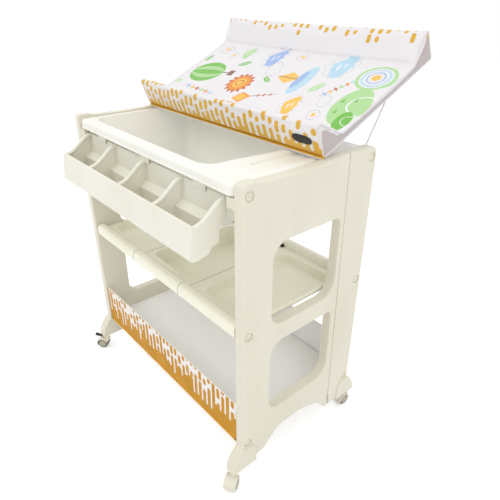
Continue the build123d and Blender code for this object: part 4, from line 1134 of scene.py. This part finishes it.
@dataclass
class Ends(SubAssembly):
    """The moulded end panels with their feet, and the screw caps in them."""

    cap_radius: float = 9.0 * MM
    cap_height: float = 2.6 * MM
    socket_radius: float = 3.4 * MM
    socket_depth: float = 1.4 * MM
    around: int = 36
    bead: float = 1.9 * MM
    bead_depth: float = 2.7 * MM
    bead_insets: tuple[float, float] = (0.089, 0.106)
    bead_heights: tuple[float, float] = (0.107, 0.878)
    bead_points: int = 8

    def build(self) -> None:
        """Dresses the panels and feet, puts a domed cap in each boss and fills the grooves."""
        self.dress(IVORY, "end_panel", "foot_")
        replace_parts(self.keep(self.caps(), IVORY, "steel_fixings"), "panel_screws")
        self.beads()

    def beads(self) -> None:
        """Lays a slim bead in the long groove of each panel, which softens the groove's shadow."""
        low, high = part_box("end_panel_right")
        for word, side in SIDES:
            line = []
            for z in np.linspace(*self.bead_heights, self.bead_points):
                inset = np.interp(z, (low.z, high.z), self.bead_insets)
                line.append((side * (high.x - self.bead_depth), high.y - inset, z))
            self.keep(tube_object(f"panel_bead_{word}", line, self.bead), IVORY, "ivory_plastic")

    def places(self) -> list[Point]:
        """Finds the middle of each cap's seat from the tubes that the screws hold.

        Returns:
            The places.
        """
        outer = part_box("panel_screws")[1].x - self.cap_height
        found = []
        for level in ("top", "shelf", "basket"):
            for word, _ in FACINGS:
                middle = middle_of(f"{level}_tube_{word}")
                found += [(side * outer, middle.y, middle.z) for _, side in SIDES]
        return found

    def hexagon(self, turn: float) -> float:
        """Returns how far a hexagon's side lies at that angle, as a share of its corners'."""
        return math.cos(math.pi / 6) / math.cos(turn % (math.pi / 3) - math.pi / 6)

    def caps(self) -> bpy.types.Object:
        """Builds the caps as one mesh: a crowned disc with a six-sided socket.

        Returns:
            The caps.
        """
        wide, tall, inner = self.cap_radius, self.cap_height, self.socket_radius
        disc = (
            (wide, 0.0), (wide, tall * 0.35), (wide * 0.93, tall * 0.72), (wide * 0.7, tall * 0.95),
        )
        socket = (
            (inner * 1.12, tall), (inner, tall * 0.94), (inner * 0.92, tall - self.socket_depth),
        )
        points: list[Point] = []
        faces: list[Face] = []
        for x, y, z in self.places():
            faces += ring_faces(len(disc + socket), self.around, len(points))
            for radius, height in disc + socket:
                for turn in turns(self.around):
                    reach = radius * (self.hexagon(turn) if (radius, height) in socket else 1.0)
                    out = x + math.copysign(height, x)
                    points.append((out, y + reach * math.cos(turn), z + reach * math.sin(turn)))
        return mesh_object("screw_caps", points, faces)


@dataclass
class Frame(SubAssembly):
    """The cross tubes, end plugs, brackets and shelf clips."""

    def build(self) -> None:
        """Dresses the steel and the small mouldings."""
        self.dress(TUBE_COAT, "top_tube", "shelf_tube", "basket_tube")
        self.dress(IVORY, "tray_bracket")
        self.dress(BLACK, "tube_end_plugs", "shelf_clips")


@dataclass
class Tub(SubAssembly):
    """The bath tub, its drain plug and the shelf below it."""

    def build(self) -> None:
        """Dresses the tub, the plug and the three shelf trays."""
        self.dress(TUB_IVORY, "bath_tub")
        self.dress(RUBBER, "drain_plug")
        joint = (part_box("shelf_tray_middle")[1].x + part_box("shelf_tray_right")[0].x) / 2
        # The shelf is lighter than the ivory panels: painted light that brightens the shelf in the
        # tub's shade. Its joints get a painted shade line.
        shelf = replace(TUB_IVORY, name="shelf_plastic", colour=linear(252, 250, 233),
                        shade=linear(248, 245, 225), joints=joint)
        self.dress(shelf, "shelf_tray")


@dataclass
class Tray(SubAssembly):
    """The organiser tray with the rounded beads on its dividers, ends and front lip."""

    bead: float = 5.8 * MM
    lip: float = 5.2 * MM
    lip_drop: float = 0.5 * MM
    lip_shares: tuple[float, ...] = (-1.0, -0.9, -0.3, 0.3, 0.9, 1.0)
    end_gap: float = 12.0 * MM
    strip_end_gap: float = 16.0 * MM
    strip_wall: float = 1.4 * MM
    strip_gap: float = 0.3 * MM
    strip_turns: range = range(172, 262, 6)
    dividers: tuple[float, ...] = (-0.166, 0.0, 0.166)
    top_line: tuple[tuple[float, float], ...] = (
        (-0.0045, -0.022), (-0.014, -0.0245), (-0.026, -0.0285), (-0.040, -0.040),
        (-0.053, -0.0515), (-0.066, -0.0615), (-0.078, -0.067), (-0.092, -0.0695),
    )

    def build(self) -> None:
        """Dresses the tray and lays the beads."""
        self.dress(TRAY_IVORY, "organiser_tray")
        axis = middle_of("top_tube_front")
        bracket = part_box("tray_bracket_right")[0].x
        end = bracket - self.end_gap
        spots = {f"divider_bead_{number}": x for number, x in enumerate(self.dividers, 1)}
        spots |= {f"end_bead_{word}": side * (end - self.bead) for word, side in SIDES}
        for name, x in spots.items():
            line = [(x, axis.y + y, axis.z + z) for y, z in self.top_line]
            self.lay(tube_object(f"tray_{name}", line, self.bead))
        y, z = (axis.yz + Vector(self.top_line[-1])) - Vector((self.lip_drop, self.lip_drop))
        line = [(share * (end - self.lip), y, z) for share in self.lip_shares]
        self.lay(tube_object("tray_front_lip", line, self.lip))
        self.lay(self.strip(axis, bracket - self.strip_end_gap))

    def lay(self, piece: bpy.types.Object) -> None:
        """Dresses one piece of the tray's trim."""
        self.keep(piece, TRAY_IVORY, "ivory_plastic")

    def strip(self, axis: Vector, end: float) -> bpy.types.Object:
        """Closes the front of the tube above the pockets with a thin curved strip.

        Args:
            axis: The front top tube's middle.
            end: How far the strip reaches to each side.

        Returns:
            The strip.
        """
        low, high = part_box("top_tube_front")
        inner = (high.z - low.z) / 2 + self.strip_gap
        angles = [math.radians(a) for a in self.strip_turns]
        faces = ((inner + self.strip_wall, angles), (inner, angles[::-1]))
        ring = [(reach * math.cos(a), reach * math.sin(a)) for reach, run in faces for a in run]
        points = [(side * end, axis.y + y, axis.z + z) for _, side in SIDES for y, z in ring]
        return mesh_object("tray_top_strip", points, ring_faces(2, len(ring)))


@dataclass
class Basket(SubAssembly):
    """The cloth basket: a wrapped floor and two printed sides with a hem and piping."""

    cloth: float = 2.2 * MM
    wave: float = 0.7 * MM
    hem: float = 1.9 * MM
    piping: float = 2.3 * MM
    end_gap: float = 1.0 * MM
    end_wrap: float = 14.0 * MM
    ripples: Point = (31.0, 13.0, 3.0)
    binding_points: int = 24
    floor_crown: float = 1.2 * MM
    floor_roll: float = 6.0 * MM
    floor_dimple: float = 0.6 * MM
    floor_edge: float = 0.35
    dimples: Point = (23.0, 9.0, 1.0)
    rivet: float = 3.6 * MM
    rivet_inset: float = 9.0 * MM
    rivet_sink: float = 0.8 * MM
    rivet_dome: tuple[tuple[float, float], ...] = (
        (1.0, 0.0), (0.96, 0.45), (0.72, 0.8), (0.36, 0.97),
    )
    rivet_around: int = 20
    rivet_height: float = 0.4
    side_grid: tuple[int, int] = (140, 26)
    floor_grid: tuple[int, int] = (180, 100)

    def build(self) -> None:
        """Builds the sides, the floor and the rivets."""
        for word, facing in FACINGS:
            self.side(word, facing)
        self.floor()
        self.rivets()

    def rivets(self) -> None:
        """Sets a small domed rivet in each lower corner of both sides."""
        points: list[Point] = []
        faces: list[Face] = []
        for word, facing in FACINGS:
            low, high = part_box(f"basket_panel_{word}")
            outer = (low.y if facing < 0 else high.y) - facing * self.rivet_sink
            for _, side in SIDES:
                x, z = side * (high.x - self.rivet_inset), low.z + self.rivet_inset
                faces += ring_faces(len(self.rivet_dome), self.rivet_around, len(points))
                for share, rise in self.rivet_dome:
                    reach = self.rivet * share
                    y = outer + facing * rise * self.rivet * self.rivet_height
                    points += [(x + reach * math.cos(turn), y, z + reach * math.sin(turn))
                               for turn in turns(self.rivet_around)]
        self.keep(mesh_object("basket_rivets", points, faces), RIVET, "black_plastic")

    def side(self, word: str, facing: int) -> None:
        """Builds one printed side with its bindings.

        Args:
            word: "front" or "rear".
            facing: -1 for the front and 1 for the rear.
        """
        node = f"basket_panel_{word}"
        low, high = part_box(node)
        long = high.x - low.x - 2 * self.end_gap
        tall = high.z - low.z - self.piping - self.hem
        middle = (low.y if facing < 0 else high.y) - facing * (high.y - low.y) / 2

        def place(a: float, b: float, face: int) -> Point:
            """Finds a point of the side, which ripples a little between its bindings.

            Args:
                a: The share along, from 0 to 1.
                b: The share up, from 0 to 1.
                face: 1 for the outer face, -1 for the inner and 0 for between them.

            Returns:
                The point.
            """
            fine, broad, slant = self.ripples
            ripple = math.sin(a * fine) * 0.5 + math.sin(a * broad + b * slant) * 0.5
            y = middle + ripple * self.wave * math.sin(math.pi * b)
            x, z = low.x + self.end_gap + a * long, low.z + self.piping + b * tall
            return (x, y + face * facing * self.cloth / 2, z)

        sheet = self.doubled(f"basket_side_{word}", place, *self.side_grid)
        printed = PrintedCloth(f"basket_print_{word}", linear(250, 246, 244), linear(236, 226, 214),
                               weave=0.3, foot=low.z)
        self.keep(sheet, printed, "basket_cloth")
        sheet.data.materials.append(self.rack.of(LINING))
        for face in sheet.data.polygons:
            inward = face.normal.y * facing < -0.5
            at_end = abs(face.center.x) > high.x - self.end_wrap
            face.material_index = 1 if inward and not at_end else 0
        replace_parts(sheet, node)
        for name, up, radius, cloth in (
            ("hem", 1.0, self.hem, HEM_CLOTH), ("piping", 0.0, self.piping, PIPING),
        ):
            line = [place(a, up, 0) for a in np.linspace(0, 1, self.binding_points)]
            binding = tube_object(f"basket_{name}_{word}", line, radius)
            self.keep(binding, cloth, "basket_cloth")

    def floor(self) -> None:
        """Builds the wrapped floor: gently crowned, with soft rolled edges."""
        low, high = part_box("basket_floor")
        size = high - low
        crown = self.floor_crown

        def place(a: float, b: float, face: int) -> Point:
            """Finds a point of the floor's wrap.

            Args:
                a: The share along, from 0 to 1.
                b: The share back, from 0 to 1.
                face: 1 for the top face and -1 for the bottom.

            Returns:
                The point.
            """
            rim = min(min(a, 1 - a) * size.x, min(b, 1 - b) * size.y)
            roll = 1 - max(0.0, 1 - rim / self.floor_roll) ** 2
            full = self.floor_edge + (1 - self.floor_edge) * roll
            up = (low.z + high.z) / 2 + face * (size.z / 2 - crown) * full
            if face > 0:
                along, back, start = self.dimples
                up += crown * math.sin(math.pi * a) * math.sin(math.pi * b)
                up += self.floor_dimple * math.sin(a * along) * math.sin(b * back + start)
            return (low.x + a * size.x, low.y + b * size.y, up)

        floor = self.doubled("basket_floor_cover", place, *self.floor_grid)
        self.keep(floor, LINING, "basket_cloth")
        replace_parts(floor, "basket_floor")

    def doubled(self, name: str, place: Callable[[float, float, int], Point],
                columns: int, rows: int) -> bpy.types.Object:
        """Builds a closed sheet from its two faces.

        Args:
            name: The piece's name.
            place: Gives a point from its shares along and up, and its face, 1 or -1.
            columns: Steps along the sheet.
            rows: Steps up the sheet.

        Returns:
            The sheet.
        """
        wide = columns + 1
        other = wide * (rows + 1)
        points = [place(column / columns, row / rows, face)
                  for face in (1, -1) for row in range(rows + 1) for column in range(wide)]
        faces: list[Face] = []
        for layer in (0, other):
            for row in range(rows):
                for a in range(layer + row * wide, layer + row * wide + columns):
                    faces.append((a, a + 1, a + 1 + wide, a + wide))
        rim = [row * wide for row in range(rows + 1)]
        rim += [rows * wide + column for column in range(1, wide)]
        rim += [row * wide + columns for row in range(rows - 1, -1, -1)]
        rim += range(columns - 1, 0, -1)
        for a, b in zip(rim, rim[1:] + rim[:1]):
            faces.append((a, b, b + other, a + other))
        return mesh_object(name, points, faces)


@dataclass
class Casters(SubAssembly):
    """The four twin-wheel casters and the two brake pedals."""

    def build(self) -> None:
        """Dresses every caster node."""
        self.dress(IVORY, "caster_hood")
        self.dress(ZINC, "caster_stem", "caster_axle", "brake_pin")
        self.dress(BLACK, "brake_pedal")
        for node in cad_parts:
            if node.startswith("caster_wheel"):
                self.dress(self.wheel(node), node)

    def wheel(self, node: str) -> CasterWheel:
        """Works out a wheel's finish from its own place and turn.

        Args:
            node: The wheel's node.

        Returns:
            The finish.
        """
        low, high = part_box(node)
        pair = ("wheel_a", "wheel_b") if "wheel_a" in node else ("wheel_b", "wheel_a")
        middle = middle_of(node)
        axle = (middle_of(node.replace(*pair)) - middle).normalized()
        radius = (high.z - low.z) / 2
        return CasterWheel(f"finish_{node}", WHEEL_COVER, TREAD, tuple(middle), tuple(axle), radius)


@dataclass
class Pad(SubAssembly):
    """The bolstered changing pad in its printed cover, its board and its wire stay."""

    depth: float = 438.0 * MM
    board: float = 5.0 * MM
    mat: float = 17.0 * MM
    front_height: float = 84.0 * MM
    front_width: float = 76.0 * MM
    front_lean: float = 6.0 * MM
    rear_height: float = 78.0 * MM
    rear_width: float = 74.0 * MM
    crest: float = 11.0 * MM
    voxel: float = 6.0 * MM
    slack: float = 1.6 * MM
    swell: float = 5.0 * MM
    end_hold: float = 10.0 * MM
    quality: int = 4
    stretch: float = 25.0
    bending: float = 2.0
    pressure: float = 4.0
    steps: int = 20
    welt: float = 1.3 * MM
    welt_inset: float = 3.0 * MM
    welt_proud: float = 0.4 * MM
    welt_rise: float = 0.8 * MM
    welt_points: int = 12
    patch_half: tuple[float, float] = (31.0 * MM, 11.0 * MM)
    patch_place: tuple[float, float] = (331.0 * MM, 46.0 * MM)
    patch_sink: float = 0.4 * MM
    patch_rings: tuple[tuple[float, float], ...] = (
        (1.0, 0.0), (1.0, 0.9 * MM), (0.95, 1.4 * MM),
        (0.86, 1.2 * MM), (0.8, 1.5 * MM), (0.4, 1.7 * MM),
    )
    patch_powers: tuple[float, float] = (0.62, 0.8)
    patch_around: int = 48
    front_print: DripPrint = DripPrint(0.0238, 0.0142, 0.040, 0.024, 7.0, 0.06, 0.125)
    rear_print: DripPrint = DripPrint(0.0262, 0.0128, 0.030, 0.022, 21.0, 0.05, 0.142)
    tilt: float = field(init=False)
    half: float = field(init=False)
    seat: Matrix = field(init=False)

    def build(self) -> None:
        """Builds the cover, its welts and patch, and dresses the board, clips and stay."""
        low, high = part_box("pad_board")
        size = high - low
        sine = self.depth * size.z - self.board * size.y
        self.tilt = math.atan2(sine, self.depth * size.y - self.board * size.z)
        self.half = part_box("pad_mat")[1].x
        corner = Vector((0.0, low.y + self.board * math.sin(self.tilt), low.z))
        self.seat = Matrix.Translation(corner) @ Matrix.Rotation(self.tilt, 4, "X")
        wrap = BoardCover(
            "board_wrap", linear(232, 229, 232), linear(212, 208, 212), pitch=1.1 * MM, weave=0.25,
            drips=PRINT_ORANGE, front=tuple(corner), tilt=self.tilt,
        )
        self.dress(wrap, "pad_board")
        self.dress(IVORY, "stay_clips")
        self.dress(WIRE_COAT, "wire_stay")
        skin = self.cover()
        self.welts(skin)
        self.patch(skin)

    def section(self) -> list[tuple[float, float]]:
        """Draws the pad's end view: a flat mat between two wedge bolsters.

        Returns:
            The outline's points.
        """
        base, top = self.board, self.board + self.mat
        front, rear = base + self.front_height, base + self.rear_height
        return rounded_line([
            (0.0, base, 2.0 * MM),
            (self.depth, base, 2.0 * MM),
            (self.depth - 0.5 * MM, rear, 6.0 * MM),
            (self.depth - self.crest, rear, 10.0 * MM),
            (self.depth - self.rear_width, top, 6.0 * MM),
            (self.front_width, top, 6.0 * MM),
            (self.front_lean + self.crest, front, 10.0 * MM),
            (self.front_lean, front, 6.0 * MM),
        ])

    def seams(self) -> list[tuple[float, float]]:
        """Finds where the cover's long seams lie in the end view.

        Returns:
            Their places.
        """
        base, top = self.board, self.board + self.mat
        inner = self.depth - self.rear_width
        return [(0.0, base), (self.depth, base), (inner, top), (self.front_width, top)]

    def cover(self) -> BVHTree:
        """Builds the cover as one soft form and fills it.

        Returns:
            Its surface, in the pad's own frame, to lay trim on.
        """
        outline = self.section()
        points = [(side * self.half, u, w) for _, side in SIDES for u, w in outline]
        cover = mesh_object("pad_cover", points, ring_faces(2, len(outline)))
        remesh = cover.modifiers.new("skin", "REMESH")
        remesh.mode = "VOXEL"
        remesh.voxel_size = self.voxel
        self.applied(cover)
        self.fill(cover)
        rounder = cover.modifiers.new("rounder", "SUBSURF")
        rounder.levels = rounder.render_levels = 1
        self.applied(cover)
        cover.matrix_world = self.seat
        # Its fifth colour is painted shade for the cover's end faces.
        vinyl = PadVinyl(
            "pad_vinyl", linear(236, 233, 235), linear(219, 216, 220), PRINT_ORANGE,
            linear(192, 182, 180), self.front_print, self.rear_print, self.depth,
            self.crest + self.front_lean, self.half,
        )
        self.keep(cover, vinyl, "pad_cover", "pad")
        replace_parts(cover, "pad_mat", "pad_bolster_front", "pad_bolster_rear")
        points, faces = cover.data.vertices, cover.data.polygons
        return BVHTree.FromPolygons([p.co for p in points], [f.vertices for f in faces])

    def applied(self, cover: bpy.types.Object) -> None:
        """Bakes the cover's modifiers into its mesh.

        Args:
            cover: The cover.
        """
        mesh = final_mesh(cover)
        cover.modifiers.clear()
        cover.data = mesh

    def fill(self, cover: bpy.types.Object) -> None:
        """Swells the cover from within, held along its seams and ends.

        Args:
            cover: The cover, in its own flat frame.
        """
        mesh = cover.data
        rest = vectors(mesh.vertices, "co")
        start = rest - vectors(mesh.vertices, "normal") * self.slack
        near = np.full(len(rest), 1.0)
        for u, w in self.seams():
            near = np.minimum(near, np.hypot(rest[:, 1] - u, rest[:, 2] - w))
        ends = np.abs(np.abs(rest[:, 0]) - self.half) < self.voxel * 0.9
        low = rest[:, 2] < self.board + self.end_hold
        held = np.nonzero((near < self.voxel) | (ends & low))[0]
        mesh.vertices.foreach_set("co", start.ravel())
        mesh.update()
        pins = cover.vertex_groups.new(name="seams")
        pins.add([int(n) for n in held], 1.0, "REPLACE")
        cloth = cover.modifiers.new("stuffing", "CLOTH").settings
        cloth.quality = self.quality
        cloth.tension_stiffness = cloth.compression_stiffness = self.stretch
        cloth.bending_stiffness = self.bending
        cloth.use_pressure = True
        cloth.uniform_pressure_force = self.pressure
        cloth.effector_weights.gravity = 0.0
        cloth.vertex_group_mass = "seams"
        scene = bpy.context.scene
        for step in range(1, self.steps + 1):
            scene.frame_set(step)
        graph = bpy.context.evaluated_depsgraph_get()
        moved = vectors(cover.evaluated_get(graph).to_mesh().vertices, "co") - start
        length = np.linalg.norm(moved, axis=1, keepdims=True)
        moved *= np.minimum(1.0, self.swell / np.maximum(length, 1e-9))
        cover.modifiers.clear()
        cover.vertex_groups.clear()
        mesh.vertices.foreach_set("co", (start + moved).ravel())
        mesh.update()
        scene.frame_set(1)

    def welts(self, skin: BVHTree) -> None:
        """Lays the welts: along both lower edges and round each end.

        Args:
            skin: The cover's surface.
        """
        end = self.half - self.welt_inset
        for word, u in (("front", -self.welt_proud), ("rear", self.depth + self.welt_proud)):
            line = [(x, u, self.welt_rise) for x in np.linspace(-end, end, self.welt_points)]
            self.welt_along(word, line, False)
        for word, side in SIDES:
            line = []
            for u, w in self.section():
                found = skin.find_nearest(Vector((side * (end - 0.5 * MM), u, w)))[0]
                line.append((side * end, found.y, found.z))
            self.welt_along(word, line, True)

    def welt_along(self, word: str, line: Sequence[Point], closed: bool) -> None:
        """Lays one welt on the pad.

        Args:
            word: The side that it lies on.
            line: Its control points, in the pad's own frame.
            closed: Whether it is a loop.
        """
        welt = tube_object(f"pad_welt_{word}", line, self.welt, closed)
        welt.matrix_world = self.seat
        self.keep(welt, WELT, "pad_cover", "pad")

    def patch(self, skin: BVHTree) -> None:
        """Sews a small plain oval patch on the front face.

        Args:
            skin: The cover's surface.
        """
        wide, tall = self.patch_half
        across, rise = self.patch_place
        spot, above, below = (
            skin.ray_cast(Vector((across, -0.1, rise + step)), Vector((0.0, 1.0, 0.0)))[0]
            for step in (0.0, tall, -tall)
        )
        points = []
        for share, height in self.patch_rings:
            for turn in turns(self.patch_around):
                x = self.squared(math.cos(turn), self.patch_powers[0])
                z = self.squared(math.sin(turn), self.patch_powers[1])
                points.append((x * (wide - tall * (1 - share)), -height, z * tall * share))
        faces = ring_faces(len(self.patch_rings), self.patch_around)
        patch = mesh_object("pad_patch", points, faces)
        lean = Matrix.Rotation(-math.atan2(above.y - below.y, above.z - below.z), 4, "X")
        place = Matrix.Translation((across, spot.y - self.patch_sink, rise))
        patch.matrix_world = self.seat @ place @ lean
        self.keep(patch, BLACK, "black_plastic", "pad")

    def squared(self, value: float, power: float) -> float:
        """Raises a number's size to a power and keeps its sign, which squares off a circle."""
        return math.copysign(abs(value) ** power, value)


@dataclass(frozen=True)
class Lamp:
    """A soft square lamp, aimed at the object's middle."""

    name: str
    away: Point
    size: float
    power: float

    def hang(self, middle: Vector) -> None:
        """Hangs the lamp.

        Args:
            middle: The object's middle.
        """
        light = bpy.data.lights.new(self.name, "AREA")
        light.size = self.size
        light.energy = self.power
        where = middle + Vector(self.away)
        made = linked(self.name, light)
        made.location = where
        made.rotation_euler = (middle - where).to_track_quat("-Z", "Y").to_euler()


@dataclass
class Studio:
    """A plain pale floor, soft lamps and the camera."""

    eye: Point = (1.0667, -0.7804, 1.2193)
    azimuth: float = 49.04
    elevation: float = 28.40
    roll: float = 0.38
    lens: float = 34.33
    shift: tuple[float, float] = (0.002, -0.004)
    clip: tuple[float, float] = (0.01, 60.0)
    aim_height: float = 0.55
    floor_half: float = 9.0
    floor_drop: float = 0.4 * MM
    floor_glow: float = 0.38
    horizon_and_zenith: tuple[float, float] = (0.58, 1.02)
    lamps: tuple[Lamp, ...] = (
        Lamp("overhead", (-0.2, -0.5, 2.6), 3.0, 3.6),
        Lamp("key", (2.9, -1.0, 1.3), 2.4, 13.0),
        Lamp("fill", (-0.3, -2.2, 2.3), 1.8, 12.0),
    )

    def build(self) -> None:
        """Builds the floor, the world, the lamps and the camera."""
        self.floor()
        self.world()
        middle = Vector((0.0, middle_of("end_panel_right").y, self.aim_height))
        for lamp in self.lamps:
            lamp.hang(middle)
        self.camera(middle.y)

    def floor(self) -> None:
        """Lays the floor, white to the eye and still able to hold a shadow."""
        half, corners = self.floor_half, ((-1, -1), (1, -1), (1, 1), (-1, 1))
        points = [(x * half, y * half, -self.floor_drop) for x, y in corners]
        floor = mesh_object("floor", points, [(0, 1, 2, 3)])
        bench = ShaderBench("floor_paper")
        bench.paint(Base_Color=dimmed(WHITE, 0.9), Roughness=0.9, Specular_IOR_Level=0.1)
        paper = bench.shader.outputs[0]
        glow = bench.node("Emission", {"Color": WHITE, "Strength": self.floor_glow}).outputs[0]
        both = bench.node("AddShader", {0: paper, 1: glow}).outputs[0]
        chosen = bench.node("MixShader", {0: bench.seen(), 1: paper, 2: both}).outputs[0]
        bench.feed(bench.tree.nodes["Material Output"].inputs[0], chosen)
        floor.data.materials.append(bench.material)

    def world(self) -> None:
        """Lights the scene softly from all round, with a white backdrop."""
        world = bpy.data.worlds.new("studio")
        bpy.context.scene.world = world
        world.use_nodes = True
        bench = NodeBench(world.node_tree)
        rise = bench.split(bench.node("TexCoord", {}).outputs["Generated"])[2]
        light = bench.fade(rise, -0.1, 0.9, *self.horizon_and_zenith, "LINEAR")
        back = bench.tree.nodes["Background"]
        bench.feed(back.inputs[0], WHITE)
        bench.feed(back.inputs[1], bench.fade(bench.seen(), 0.0, 1.0, light, 1.0, "LINEAR"))

    def camera(self, middle_y: float) -> None:
        """Sets up the camera.

        Args:
            middle_y: The middle of the end panels' depth.
        """
        turn, rise, roll = (math.radians(a) for a in (self.azimuth, self.elevation, self.roll))
        level = Vector((-math.sin(turn), math.cos(turn), 0.0))
        forward = level * math.cos(rise) - Vector((0.0, 0.0, math.sin(rise)))
        right = forward.cross(Vector((0, 0, 1))).normalized()
        up = right.cross(forward)
        rolled = right * math.cos(roll) + up * math.sin(roll)
        top = up * math.cos(roll) - right * math.sin(roll)
        made = linked("camera", bpy.data.cameras.new("camera"))
        facing = Matrix((rolled, top, -forward)).transposed().to_4x4()
        made.matrix_world = Matrix.Translation(Vector(self.eye) + Vector((0, middle_y, 0))) @ facing
        made.data.sensor_width = 36.0
        made.data.lens = self.lens
        made.data.shift_x, made.data.shift_y = self.shift
        made.data.clip_start, made.data.clip_end = self.clip
        bpy.context.scene.camera = made


def main() -> None:
    """Builds the studio and every sub-assembly."""
    logging.basicConfig(level=logging.INFO, format="%(message)s")
    bpy.context.scene.view_settings.view_transform = "Standard"
    Studio().build()
    rack = Rack()
    for kind in (Ends, Frame, Tub, Tray, Basket, Casters, Pad):
        made = kind(rack)
        made.build()
        for piece in made.pieces:
            LOG.info("%s: %s", kind.__name__, piece.name)


if __name__ == "__main__":
    main()
